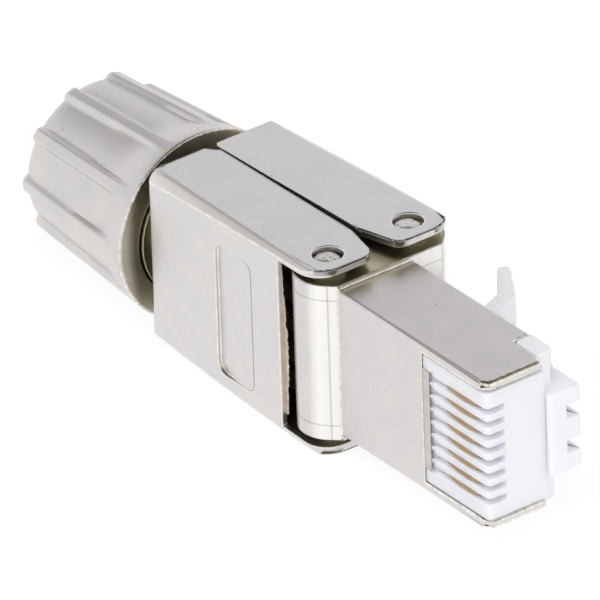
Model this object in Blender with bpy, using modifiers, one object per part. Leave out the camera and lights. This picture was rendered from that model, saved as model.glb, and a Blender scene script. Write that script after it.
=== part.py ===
"""Shielded, field-terminable modular plug with a die-cast body and two hinged doors.

Origin: centre of the plug's front face. +X points out of the nose, -Y is the
contact side, +Y is the latch side and +Z runs along the plug's width.
"""
import math

import bmesh
import bpy
from mathutils import Matrix, Vector

MM = 0.001

# Fits between pieces
FIT = 0.1 * MM              # seated pieces, per side
CLOSE_FIT = 0.02 * MM       # plastic on plastic, per side
PIN_FIT = 0.1 * MM          # hinge pin in a door ear, on the radius
CUT = 2.0 * MM              # how far a cutter runs past what it opens
ARC_STEP = 0.45 * MM        # longest segment in a corner's arc
ARC_STEPS = 3               # fewest segments in a corner's arc
WELD = 0.02 * MM            # points closer than this are one point

# Nose of the plug, the part that enters a jack
NOSE_WIDTH = 11.68 * MM
NOSE_HEIGHT = 6.6 * MM
NOSE_LENGTH = 16.45 * MM
NOSE_PLATE = 0.74 * MM
NOSE_SIDE_WALL = 0.65 * MM
NOSE_FRONT_RADIUS = 0.75 * MM
NOSE_EDGE = 0.28 * MM
WINDOW_LENGTH = 7.15 * MM
STRAP_LENGTH = 3.5 * MM
STRAP_DEPTH = 1.5 * MM
STRAP_SETBACK = 0.8 * MM
STRAP_CORNER = 0.7 * MM
NOTCH_RADIUS = 0.4 * MM

# Hinge block behind the nose
PIVOT_SPACING = 6.95 * MM
PIVOT_OFFSET = 1.275 * MM   # body centre line, measured from the nose's centre line
CABLE_OFFSET = 0.95 * MM    # axis of the sleeve and nut, measured from the nose's centre line
BARREL_RADIUS = 2.5 * MM
BLOCK_HEIGHT = 12.4 * MM
BLOCK_EDGE = 0.15 * MM
PASSAGE_WIDTH = 3.4 * MM
CAVITY_OVERRUN = 0.5 * MM   # how far the nose's cavity runs into the block
PIN_RADIUS = 1.0 * MM
PIN_EDGE = 0.1 * MM

# Doors
DOOR_WALL = 0.6 * MM
DOOR_SIDE_WALL = 0.5 * MM
DOOR_REAR_REACH = 17.55 * MM    # from the pivots to the rear edge
DOOR_EAR_REACH = 2.1 * MM       # from the pivots to the ears' front edge
DOOR_SIDE_START = 2.4 * MM      # from the pivots back to the side wall's front edge
DOOR_HALF_FRONT = 6.06 * MM     # half width across both doors, at the side wall's front edge
DOOR_HALF_REAR = 5.83 * MM
DOOR_TOP_FRONT = 7.27 * MM      # half height at the pivots
DOOR_TOP_REAR = 6.82 * MM
DOOR_RIM_EDGE = 0.15 * MM
DOOR_SLOPE_FRONT = 0.5 * MM     # width of the slope along each long edge, at the pivots
DOOR_SLOPE_REAR = 1.0 * MM
DOOR_DROP_FRONT = 0.28 * MM     # how far that slope drops, at the pivots
DOOR_DROP_REAR = 0.8 * MM
DOOR_SLOPE_TOP = ((0.22, 0.06), (0.45, 0.27))   # soft top of the slope: share of width, of drop
DOOR_SLOPE_STATIONS = 6
DOOR_REAR_EDGE = 0.45 * MM
DOOR_CHAMFER_CONTACT_SIDE = (1.0 * MM, 0.8 * MM)    # inner rear corner, along X and Y
DOOR_CHAMFER_LATCH_SIDE = (0.35 * MM, 0.25 * MM)
DOOR_CORNER = 2.0 * MM
EAR_SLANT = 1.1 * MM            # ear's inner front corner, from the body's centre line
EAR_INNER_RADIUS = 0.95 * MM
EAR_SLANT_LENGTH = 3.6 * MM
SLIT_REAR = 0.1 * MM
SLIT_FRONT = 0.4 * MM
PANEL_LENGTH = 4.15 * MM
PANEL_HEIGHT = 10.35 * MM
PANEL_DEPTH_FRONT = 0.08 * MM
PANEL_DEPTH_REAR = 0.3 * MM
PANEL_SETBACK = 3.2 * MM        # from the side wall's front edge
PANEL_DROP = 0.4 * MM
PANEL_RADIUS = 0.8 * MM

# Contact carrier and contacts
CONTACT_COUNT = 8
CONTACT_PITCH = 1.02 * MM
CONTACT_WIDTH = 0.32 * MM
CONTACT_THICKNESS = 0.3 * MM
CONTACT_RECESS = 0.2 * MM
CONTACT_BEND = 0.45 * MM
CONTACT_HOOK = 0.6 * MM         # how deep the bent end reaches
CONTACT_TIP = 1.2 * MM          # from the front face, as the next four
CONTACT_CREST = 1.8 * MM        # end of the part that a jack's spring touches
CONTACT_SLOPE = 4.9 * MM        # end of the gentle slope
CONTACT_FOOT = 5.75 * MM        # start of the flat end on the board
CONTACT_TAIL = 9.7 * MM         # end of the flat end on the board
CONTACT_DROP = 0.49 * MM        # how far the gentle slope drops
SLOT_WIDTH = 0.5 * MM
SLOT_LENGTH = 6.15 * MM
SLOT_DEPTH = 1.6 * MM
WELL_LENGTH = 1.6 * MM          # deep end of each slot, where the contact goes down
COMB_LENGTH = 0.8 * MM          # recess behind the slots, which open into it
COMB_WIDTH = 8.0 * MM
COMB_DEPTH = 0.35 * MM
CARRIER_SETBACK = 0.85 * MM     # from the carrier's rear to the hinge block
CARRIER_FLUSH = 0.05 * MM       # outer face below the nose's face
CARRIER_FRONT_RADIUS = 0.35 * MM

# Circuit board
BOARD_THICKNESS = 1.0 * MM
BOARD_FACE = -0.35 * MM
BOARD_FRONT = 5.6 * MM
BOARD_SEAT = 3.65 * MM          # how far the board runs into the terminal block
BOARD_TONGUE_GAP = 0.8 * MM   # the same, at the tongue in the carrier
BOARD_SIDE_GAP = 0.4 * MM     # from the board to the cavity's walls

# Terminal block, its terminals and the wire manager
TERMINAL_TONGUE = 1.2 * MM
TERMINAL_BLOCK_LENGTH = 7.6 * MM
TERMINAL_BLOCK_WIDTH = 10.6 * MM
TERMINAL_BLOCK_HALF = 4.0 * MM
TERMINAL_BLOCK_EDGE = 0.25 * MM
TERMINALS_PER_SIDE = 4
TERMINAL_PITCH = 2.4 * MM
TERMINAL_WIDTH = 1.8 * MM
TERMINAL_THICKNESS = 0.4 * MM
TERMINAL_JAW = 0.45 * MM
TERMINAL_JAW_DEPTH = 1.5 * MM
TERMINAL_LEAD = 0.35 * MM       # height of the lead-in that guides a wire
TERMINAL_FLARE = 1.17 * MM      # width of the lead-in's mouth
TERMINAL_SETBACK = 1.5 * MM     # from the block's front face
WIRE_CHANNEL = 1.1 * MM
WIRE_CHANNEL_DEPTH = 1.3 * MM
MANAGER_CORNER = 1.2 * MM
MANAGER_WALL = 1.2 * MM
MANAGER_BORE_STEP = 0.6 * MM    # from the sleeve's bore to the manager's

# Clamp sleeve, ring and cap nut
THREAD_STEP = 1.0 * MM          # from the waist to the thread
SLEEVE_WALL = 0.7 * MM          # round the cable, at the waist
WAIST_LENGTH = 2.1 * MM
FLANGE_STEP = 0.55 * MM         # from the waist to the flange
FLANGE_LENGTH = 0.9 * MM
FLANGE_PLAY = 0.5 * MM          # from the flange to the doors' rear wall
WAIST_FIT = 0.2 * MM
THREAD_LENGTH = 5.6 * MM
COLLET_LENGTH = 5.2 * MM
COLLET_TIP_WALL = 0.75 * MM
COLLET_STEP = 0.45 * MM         # from the thread's outside to the collet's root
COLLET_SLOTS = 4
COLLET_SLOT_WIDTH = 0.7 * MM
COLLET_SLOT_SETBACK = 0.8 * MM
RING_THICKNESS = 0.8 * MM
NUT_GAP = 1.2 * MM              # from the doors' rear edge to the nut's rim
NUT_LENGTH = 12.55 * MM
NUT_RIM_RADIUS = 7.2 * MM
NUT_TAPER = 0.88 * MM           # how much the ribs' tops drop from the rim to the rear
NUT_WALL = 1.78 * MM            # from the rim's outside to the threaded bore
NUT_RIB_DEPTH = 0.45 * MM
NUT_RIB_COUNT = 10
NUT_RIB_WIDTH = 1.3 * MM
NUT_RIB_ROUND = 0.3 * MM
NUT_RIB_SUNK = 0.25 * MM        # how deep the ribs' sections run into the cone
NUT_RIB_END = 0.05 * MM         # from the ribs' rear end to the nut's rear face
NUT_GROOVE_BLEND = 1.2 * MM     # fillet where the grooves end at the rim
NUT_EDGE = 0.12 * MM
NUT_TAIL_EDGE = 0.3 * MM
NUT_RIM_BAND = 0.7 * MM
NUT_MOUTH_WALL = 1.25 * MM
NUT_REAR_WALL = 0.8 * MM
NUT_HOLE_FIT = 0.4 * MM         # round the cable
NUT_TAPER_LENGTH = 5.2 * MM
NUT_SEAT_WALL = 1.05 * MM
NUT_SEAT_LENGTH = 1.2 * MM
THREAD_FIT = 0.12 * MM

# Latch
LATCH_ROOT_WIDTH = 6.4 * MM
LATCH_TAB_WIDTH = 3.26 * MM
LATCH_ROOT_FRONT = 0.5 * MM
LATCH_ROOT_LENGTH = 2.85 * MM
LATCH_RISE = 1.15 * MM          # root's outer face above the nose
LATCH_GROOVE = 1.1 * MM
LATCH_GROOVE_DEPTH = 1.2 * MM
LATCH_FIN_WIDTH = 1.65 * MM
LATCH_SHOULDER = 4.1 * MM
LATCH_ARM_REACH = 12.6 * MM
LATCH_ARM_RISE = 3.35 * MM
LATCH_ARM_THICKNESS = 1.25 * MM
LATCH_BEND_REACH = 1.15 * MM
LATCH_BEND_RISE = 2.15 * MM
LATCH_PAD_REACH = 3.4 * MM
LATCH_PAD_RISE = 2.15 * MM
LATCH_PAD_THICKNESS = 0.9 * MM
LATCH_HINGE_THICKNESS = 1.0 * MM
LATCH_HINGE_LENGTH = 1.9 * MM   # thin part of the arm behind the living hinge
LATCH_RISER_START = 2.4 * MM    # how far before the arm's reach the outer bend starts
LATCH_RISER_HEEL = 0.9 * MM     # inner bend behind the outer bend, along the arm
LATCH_RISER_TOE = 0.35 * MM     # inner bend behind the outer bend, along the pad
LATCH_BEND_RADIUS = 0.9 * MM
LATCH_INNER_RADIUS = 0.45 * MM
LATCH_TIP_RADIUS = 0.4 * MM
LATCH_ROOT_RADIUS = 0.25 * MM
LATCH_SHOULDER_RADIUS = 0.3 * MM

# Places worked out from the sizes above
NOSE_HALF = NOSE_WIDTH / 2
NOSE_Y = NOSE_HEIGHT / 2
CARRIER_LENGTH = NOSE_LENGTH - CARRIER_SETBACK
CAVITY_HALF = NOSE_HALF - NOSE_PLATE
CAVITY_Y = NOSE_Y - NOSE_SIDE_WALL
PIVOT_X = -NOSE_LENGTH - BARREL_RADIUS
DOOR_REAR_X = PIVOT_X - DOOR_REAR_REACH
SIDE_START_X = PIVOT_X - DOOR_SIDE_START
SLANT_X = PIVOT_X + DOOR_EAR_REACH - EAR_SLANT_LENGTH
SLEEVE_FRONT_X = DOOR_REAR_X + DOOR_WALL + FLANGE_PLAY + FLANGE_LENGTH
NUT_FRONT_X = DOOR_REAR_X - NUT_GAP
BLOCK_START = NOSE_LENGTH + 2 * BARREL_RADIUS + FIT
BOARD_REAR = -BLOCK_START - BOARD_SEAT
STRAP_Y = NOSE_Y - STRAP_DEPTH
BOARD_HALF = CAVITY_HALF - BOARD_SIDE_GAP
TONGUE_HALF = CAVITY_HALF - BOARD_TONGUE_GAP
BOARD_BACK = BOARD_FACE + BOARD_THICKNESS
NUT_BORE_RADIUS = NUT_RIM_RADIUS - NUT_WALL
THREAD_RADIUS = NUT_BORE_RADIUS - THREAD_FIT
WAIST_RADIUS = THREAD_RADIUS - THREAD_STEP
FLANGE_RADIUS = WAIST_RADIUS + FLANGE_STEP
CABLE_RADIUS = WAIST_RADIUS - SLEEVE_WALL
COLLET_TIP_RADIUS = CABLE_RADIUS + COLLET_TIP_WALL
MANAGER_BORE_RADIUS = CABLE_RADIUS - MANAGER_BORE_STEP
NUT_MOUTH_RADIUS = NUT_RIM_RADIUS - NUT_MOUTH_WALL
NUT_HOLE_RADIUS = CABLE_RADIUS + NUT_HOLE_FIT
AXIS_POINT = Vector((0, CABLE_OFFSET, 0))

parts = None
cutters = None


def start_scene():
    """Empty the scene and make the two collections."""
    global parts, cutters
    for obj in list(bpy.data.objects):
        bpy.data.objects.remove(obj, do_unlink=True)
    parts = bpy.data.collections.new("shielded_ethernet_plug")
    cutters = bpy.data.collections.new("cutters")
    bpy.context.scene.collection.children.link(parts)
    bpy.context.scene.collection.children.link(cutters)


def make_material(name, color, roughness, metallic):
    material = bpy.data.materials.new(name)
    material.use_nodes = True
    shader = material.node_tree.nodes["Principled BSDF"]
    shader.inputs["Base Color"].default_value = (*color, 1.0)
    shader.inputs["Roughness"].default_value = roughness
    shader.inputs["Metallic"].default_value = metallic
    material.diffuse_color = (*color, 1.0)
    return material


def add_object(name, data):
    obj = bpy.data.objects.new(name, data)
    cutters.objects.link(obj)
    return obj


def as_part(obj, material, smooth=False):
    """Move a finished shape from the cutters to the parts."""
    cutters.objects.unlink(obj)
    parts.objects.link(obj)
    obj.data.materials.clear()
    obj.data.materials.append(material)
    if smooth:
        obj.data.shade_smooth()
        obj.data.set_sharp_from_angle(angle=math.radians(35))
    return obj


def as_cutter(obj):
    obj.hide_render = True
    obj.display_type = 'WIRE'
    return obj


def combine(target, other, operation):
    """Boolean modifier that subtracts, joins or intersects another shape."""
    modifier = target.modifiers.new(other.name, 'BOOLEAN')
    modifier.operation = operation
    modifier.object = as_cutter(other)
    modifier.solver = 'EXACT'


def cut(target, *others):
    for other in others:
        combine(target, other, 'DIFFERENCE')


def join(target, *others):
    for other in others:
        combine(target, other, 'UNION')


def box(name, low, high):
    """Box between two corners."""
    mesh = bpy.data.meshes.new(name)
    shape = bmesh.new()
    bmesh.ops.create_cube(shape, size=1.0)
    low = Vector(low)
    high = Vector(high)
    size = high - low
    bmesh.ops.scale(shape, vec=size, verts=shape.verts)
    bmesh.ops.translate(shape, vec=(low + high) / 2, verts=shape.verts)
    shape.to_mesh(mesh)
    shape.free()
    return add_object(name, mesh)


def cylinder(name, radius, low, high, center, axis='Z', sides=48):
    """Cylinder along Z or X between two coordinates on that axis."""
    mesh = bpy.data.meshes.new(name)
    shape = bmesh.new()
    bmesh.ops.create_cone(shape, cap_ends=True, segments=sides, radius1=radius,
                          radius2=radius, depth=high - low)
    middle = Vector(center)
    if axis == 'X':
        bmesh.ops.rotate(shape, verts=shape.verts, matrix=Matrix.Rotation(math.pi / 2, 3, 'Y'))
        middle.x = (low + high) / 2
    else:
        middle.z = (low + high) / 2
    bmesh.ops.translate(shape, vec=middle, verts=shape.verts)
    shape.to_mesh(mesh)
    shape.free()
    return add_object(name, mesh)


def rounded(corners):
    """Outline points from corners (x, y) or (x, y, radius), with arcs in the corners."""
    outline = []
    count = len(corners)
    for index, corner in enumerate(corners):
        here = Vector(corner[:2])
        radius = corner[2] if len(corner) > 2 else 0
        if radius <= 0:
            outline.append(here)
            continue
        before = (Vector(corners[index - 1][:2]) - here).normalized()
        after = (Vector(corners[(index + 1) % count][:2]) - here).normalized()
        half = before.angle(after) / 2
        center = here + (before + after).normalized() * radius / math.sin(half)
        reach = radius / math.tan(half)
        start = here + before * reach - center
        sweep = start.angle_signed(here + after * reach - center)
        steps = max(ARC_STEPS, math.ceil(abs(sweep) * radius / ARC_STEP))
        for step in range(steps + 1):
            turn = Matrix.Rotation(-sweep * step / steps, 2)
            outline.append(center + turn @ start)
    return [place for index, place in enumerate(outline)
            if (place - outline[index - 1]).length > WELD]


def prism(name, outline, low, high, plane='XY'):
    """Flat outline filled and extruded between two coordinates across its plane."""
    curve = bpy.data.curves.new(name, 'CURVE')
    curve.dimensions = '2D'
    curve.fill_mode = 'BOTH'
    curve.extrude = (high - low) / 2
    spline = curve.splines.new('POLY')
    spline.points.add(len(outline) - 1)
    for point, place in zip(spline.points, outline):
        point.co = (place[0], place[1], 0, 1)
    spline.use_cyclic_u = True
    source = add_object(name + "_outline", curve)
    bpy.context.view_layer.update()
    evaluated = source.evaluated_get(bpy.context.evaluated_depsgraph_get())
    mesh = bpy.data.meshes.new_from_object(evaluated)
    bpy.data.objects.remove(source, do_unlink=True)
    shape = bmesh.new()
    shape.from_mesh(mesh)
    bmesh.ops.remove_doubles(shape, verts=shape.verts, dist=0.001 * MM)
    bmesh.ops.translate(shape, vec=(0, 0, (low + high) / 2), verts=shape.verts)
    if plane == 'YZ':
        turn = Matrix(((0, 0, 1), (1, 0, 0), (0, 1, 0)))
        bmesh.ops.transform(shape, matrix=turn.to_4x4(), verts=shape.verts)
    elif plane == 'XZ':
        bmesh.ops.rotate(shape, verts=shape.verts, matrix=Matrix.Rotation(math.pi / 2, 3, 'X'))
        bmesh.ops.scale(shape, vec=(1, -1, 1), verts=shape.verts)
    bmesh.ops.recalc_face_normals(shape, faces=shape.faces)
    shape.to_mesh(mesh)
    shape.free()
    mesh.name = name
    return add_object(name, mesh)


def turned(name, profile, steps=40):
    """Closed profile of (radius, distance) turned about an axis that points to -X."""
    mesh = bpy.data.meshes.new(name)
    shape = bmesh.new()
    ring = [shape.verts.new((radius, 0, distance)) for radius, distance in profile]
    for first, second in zip(ring, ring[1:] + ring[:1]):
        shape.edges.new((first, second))
    shape.to_mesh(mesh)
    shape.free()
    obj = add_object(name, mesh)
    screw = obj.modifiers.new("turn", 'SCREW')
    screw.axis = 'Z'
    screw.angle = math.tau
    screw.steps = steps
    screw.render_steps = steps
    screw.use_merge_vertices = True
    screw.merge_threshold = WELD / 2
    obj.rotation_euler = (0, -math.pi / 2, 0)
    return obj


def loft(name, rings):
    """Closed shape through sections that have the same number of points."""
    mesh = bpy.data.meshes.new(name)
    shape = bmesh.new()
    loops = [[shape.verts.new(point) for point in ring] for ring in rings]
    for near, far in zip(loops, loops[1:]):
        for index, corner in enumerate(near):
            following = (index + 1) % len(near)
            shape.faces.new((corner, near[following], far[following], far[index]))
    shape.faces.new(loops[0])
    shape.faces.new(loops[-1])
    bmesh.ops.triangulate(shape, faces=shape.faces)
    bmesh.ops.recalc_face_normals(shape, faces=shape.faces)
    shape.to_mesh(mesh)
    shape.free()
    return add_object(name, mesh)


def ribbon(name, path, width, thickness):
    """Strip of sheet metal that follows a path in the XY plane."""
    curve = bpy.data.curves.new(name, 'CURVE')
    curve.dimensions = '3D'
    curve.extrude = width / 2
    spline = curve.splines.new('POLY')
    spline.points.add(len(path) - 1)
    for point, place in zip(spline.points, path):
        point.co = (place[0], place[1], 0, 1)
    source = add_object(name + "_path", curve)
    bpy.context.view_layer.update()
    evaluated = source.evaluated_get(bpy.context.evaluated_depsgraph_get())
    mesh = bpy.data.meshes.new_from_object(evaluated)
    bpy.data.objects.remove(source, do_unlink=True)
    mesh.name = name
    obj = add_object(name, mesh)
    solidify = obj.modifiers.new("thickness", 'SOLIDIFY')
    solidify.thickness = thickness
    solidify.offset = 0
    solidify.use_even_offset = True
    return obj


def set_origin(obj, origin):
    """Put an object's origin on its joint's axis, with its shape left in place."""
    obj.data.transform(Matrix.Translation(-Vector(origin)))
    obj.location = origin


def soften(obj, width, segments=2, angle=30):
    """Round every edge sharper than an angle."""
    bevel = obj.modifiers.new("edges", 'BEVEL')
    bevel.width = width
    bevel.segments = segments
    bevel.limit_method = 'ANGLE'
    bevel.angle_limit = math.radians(angle)
    bevel.use_clamp_overlap = True
    return bevel


def weigh_edges(obj, weight_of):
    """Give each edge the bevel weight that a function of its two ends returns."""
    mesh = obj.data
    layer = mesh.attributes.new("bevel_weight_edge", 'FLOAT', 'EDGE')
    for edge in mesh.edges:
        ends = [mesh.vertices[index].co for index in edge.vertices]
        layer.data[edge.index].value = weight_of(*ends)


def bevel_by_weight(obj, width, segments=3):
    bevel = obj.modifiers.new("edges", 'BEVEL')
    bevel.width = width
    bevel.segments = segments
    bevel.limit_method = 'WEIGHT'
    bevel.use_clamp_overlap = True


def door_half_width(x):
    """Half width across both doors at a place along the body."""
    span = SIDE_START_X - DOOR_REAR_X
    share = (SIDE_START_X - x) / span
    return DOOR_HALF_FRONT + (DOOR_HALF_REAR - DOOR_HALF_FRONT) * share


def door_half_height(x):
    """Half height of the doors at a place along the body."""
    share = (PIVOT_X - x) / DOOR_REAR_REACH
    return DOOR_TOP_FRONT + (DOOR_TOP_REAR - DOOR_TOP_FRONT) * share


def slit_half(x):
    """Half of the slit between the doors, which opens towards the hinge."""
    share = (x - DOOR_REAR_X) / (SIDE_START_X - DOOR_REAR_X)
    return (SLIT_REAR + (SLIT_FRONT - SLIT_REAR) * share) / 2


def pivot_y(side):
    """Y of a door's pivot. side is -1 on the contact side and 1 on the latch side."""
    return PIVOT_OFFSET + side * PIVOT_SPACING / 2


def build_corner_cutter(side, distance, radius):
    """Cutter that rounds an upright edge of the nose's front."""
    corner = rounded([(-NOSE_LENGTH, distance), (0, distance, radius), (0, 0)])
    arc = corner[1:-1]
    outline = [(arc[0].x, distance + CUT)] + [tuple(place) for place in arc]
    outline += [(CUT, arc[-1].y), (CUT, distance + CUT)]
    return prism("front_corner", [(x, side * y) for x, y in outline], -NOSE_WIDTH, NOSE_WIDTH)


def build_plug_frame(material):
    """Die-cast nose shroud and hinge block in one piece."""
    section = rounded([(-NOSE_Y, -NOSE_HALF, NOSE_EDGE), (NOSE_Y, -NOSE_HALF, NOSE_EDGE),
                       (NOSE_Y, NOSE_HALF, NOSE_EDGE), (-NOSE_Y, NOSE_HALF, NOSE_EDGE)])
    nose = prism("plug_frame", section, PIVOT_X, 0, 'YZ')
    notch = rounded([(CUT, STRAP_Y), (-STRAP_LENGTH, STRAP_Y, NOTCH_RADIUS),
                     (-STRAP_LENGTH, NOSE_Y + CUT), (CUT, NOSE_Y + CUT)])
    cut(nose, build_corner_cutter(-1, NOSE_Y, NOSE_FRONT_RADIUS),
        build_corner_cutter(1, STRAP_Y, NOTCH_RADIUS),
        prism("strap_notch", notch, -NOSE_WIDTH, NOSE_WIDTH))

    low_y = pivot_y(-1) - BARREL_RADIUS
    high_y = pivot_y(1) + BARREL_RADIUS
    rear_x = PIVOT_X - BARREL_RADIUS
    cheek = BARREL_RADIUS * math.tan(math.pi / 8)
    plan = [(rear_x, low_y, BARREL_RADIUS), (PIVOT_X + cheek, low_y, BARREL_RADIUS),
            (-NOSE_LENGTH, low_y + BARREL_RADIUS - cheek),
            (-NOSE_LENGTH, high_y - BARREL_RADIUS + cheek),
            (PIVOT_X + cheek, high_y, BARREL_RADIUS), (rear_x, high_y, BARREL_RADIUS)]
    block = prism("hinge_block", rounded(plan), -BLOCK_HEIGHT / 2, BLOCK_HEIGHT / 2)
    soften(block, BLOCK_EDGE, 2, 60)
    join(nose, block)

    cavity_end = -NOSE_LENGTH - CAVITY_OVERRUN
    inside = box("nose_cavity", (cavity_end, -CAVITY_Y, -CAVITY_HALF),
                 (CUT, CAVITY_Y, CAVITY_HALF))
    window = box("contact_window", (-WINDOW_LENGTH, -NOSE_Y - CUT, -CAVITY_HALF),
                 (CUT, -CAVITY_Y + FIT, CAVITY_HALF))
    passage = box("board_passage",
                  (rear_x - CUT, CAVITY_Y - FIT - PASSAGE_WIDTH, -CAVITY_HALF),
                  (cavity_end + FIT, CAVITY_Y - FIT, CAVITY_HALF))
    cut(nose, inside, window, passage)
    for side in (-1, 1):
        hole = cylinder("pin_hole", PIN_RADIUS + FIT / 2, -BLOCK_HEIGHT, BLOCK_HEIGHT,
                        (PIVOT_X, pivot_y(side), 0), sides=24)
        cut(nose, hole)
    return as_part(nose, material)


def build_pin(name, side, material):
    """Hinge pin whose ends stay below the doors' outer faces."""
    reach = DOOR_TOP_FRONT - DOOR_WALL / 2 - FIT
    pin = cylinder(name, PIN_RADIUS, -reach, reach, (0, 0, 0), sides=24)
    pin.location = (PIVOT_X, pivot_y(side), 0)
    soften(pin, PIN_EDGE, 1, 60)
    return as_part(pin, material, smooth=True)


def door_outline(side):
    """Plan of a door, seen along Z, with its ears, slanted front and rear chamfer."""
    def y_at(distance):
        return PIVOT_OFFSET + side * distance

    ear_x = PIVOT_X + DOOR_EAR_REACH
    along, across = DOOR_CHAMFER_CONTACT_SIDE if side < 0 else DOOR_CHAMFER_LATCH_SIDE
    return rounded([
        (DOOR_REAR_X, y_at(door_half_width(DOOR_REAR_X)), DOOR_REAR_EDGE),
        (DOOR_REAR_X, y_at(slit_half(DOOR_REAR_X) + across)),
        (DOOR_REAR_X + along, y_at(slit_half(DOOR_REAR_X))),
        (SLANT_X, y_at(slit_half(SLANT_X))),
        (ear_x, y_at(EAR_SLANT), EAR_INNER_RADIUS),
        (ear_x, y_at(door_half_width(ear_x)), DOOR_CORNER),
    ])


def build_long_edge_cutter(name, side, up):
    """Wedge that slopes a door's long edge, more and more towards the rear."""
    rings = []
    start = PIVOT_X + DOOR_EAR_REACH + CUT
    for index in range(DOOR_SLOPE_STATIONS + 1):
        x = start + (DOOR_REAR_X - CUT - start) * index / DOOR_SLOPE_STATIONS
        share = max(0, (PIVOT_X - x) / DOOR_REAR_REACH)
        width = DOOR_SLOPE_FRONT + (DOOR_SLOPE_REAR - DOOR_SLOPE_FRONT) * share
        drop = DOOR_DROP_FRONT + (DOOR_DROP_REAR - DOOR_DROP_FRONT) * share ** 2
        top = door_half_height(x)
        inner = door_half_width(x) - width
        soft = [(inner + width * across, top - drop * down) for across, down in DOOR_SLOPE_TOP]
        slant = (top - drop - soft[-1][1]) / (inner + width - soft[-1][0])
        outer = inner + width + CUT
        above = (2 * inner - soft[0][0], 2 * top - soft[0][1])
        section = [above] + soft
        section += [(outer, top - drop + slant * CUT), (outer, top + CUT), (above[0], top + CUT)]
        rings.append([Vector((x, PIVOT_OFFSET + side * y, up * z)) for y, z in section])
    return loft(name, rings)


def build_door(name, side, material):
    """Hinged half shell with two ears, a rear wall and a shallow side panel."""
    outline = door_outline(side)
    door = prism(name, outline, -DOOR_TOP_FRONT, DOOR_TOP_FRONT)
    for vertex in door.data.vertices:
        vertex.co.z = math.copysign(door_half_height(vertex.co.x), vertex.co.z)
    weigh_edges(door, lambda first, second: 1.0 if first.z * second.z > 0 else 0.0)
    bevel_by_weight(door, DOOR_RIM_EDGE, 2)
    door.modifiers.new("flat faces", 'TRIANGULATE')
    for up in (-1, 1):
        cut(door, build_long_edge_cutter(name + "_long_edge", side, up))

    def y_at(distance):
        return PIVOT_OFFSET + side * distance

    inside_x = DOOR_REAR_X + DOOR_WALL
    front_x = PIVOT_X + DOOR_EAR_REACH + CUT
    hollow = prism(name + "_hollow", [
        (inside_x, y_at(-CUT)),
        (inside_x, y_at(door_half_width(inside_x) - DOOR_SIDE_WALL)),
        (SIDE_START_X, y_at(door_half_width(SIDE_START_X) - DOOR_SIDE_WALL)),
        (SIDE_START_X, y_at(DOOR_HALF_FRONT + CUT)),
        (front_x, y_at(DOOR_HALF_FRONT + CUT)),
        (front_x, y_at(-CUT)),
    ], -DOOR_TOP_FRONT, DOOR_TOP_FRONT)
    for vertex in hollow.data.vertices:
        height = door_half_height(vertex.co.x) - DOOR_WALL
        vertex.co.z = math.copysign(height, vertex.co.z)
    cut(door, hollow)

    pivot = Vector((PIVOT_X, pivot_y(side), 0))
    hole = cylinder(name + "_pin_hole", PIN_RADIUS + PIN_FIT, -DOOR_TOP_FRONT - CUT,
                    DOOR_TOP_FRONT + CUT, pivot, sides=24)
    neck = cylinder(name + "_neck_hole", WAIST_RADIUS + WAIST_FIT, DOOR_REAR_X - CUT,
                    DOOR_REAR_X + CUT, AXIS_POINT, 'X', 40)
    panel_x = SIDE_START_X - PANEL_SETBACK
    half = PANEL_HEIGHT / 2
    panel_corners = [(panel_x - PANEL_LENGTH, -half - PANEL_DROP, PANEL_RADIUS),
                     (panel_x, -half - PANEL_DROP, PANEL_RADIUS),
                     (panel_x, half - PANEL_DROP, PANEL_RADIUS),
                     (panel_x - PANEL_LENGTH, half - PANEL_DROP, PANEL_RADIUS)]
    panel = prism(name + "_panel", rounded(panel_corners), 0, CUT, 'XZ')
    for vertex in panel.data.vertices:
        share = (panel_x - vertex.co.x) / PANEL_LENGTH
        depth = PANEL_DEPTH_FRONT + (PANEL_DEPTH_REAR - PANEL_DEPTH_FRONT) * share
        floor = door_half_width(vertex.co.x) - depth
        vertex.co.y = y_at(floor + vertex.co.y)
    if side < 0:
        panel.data.flip_normals()
    cut(door, hole, neck, panel)
    set_origin(door, pivot)
    return as_part(door, material)


def slot_places():
    """Z of each contact, from the bottom up."""
    middle = (CONTACT_COUNT - 1) / 2
    return [(index - middle) * CONTACT_PITCH for index in range(CONTACT_COUNT)]


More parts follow.
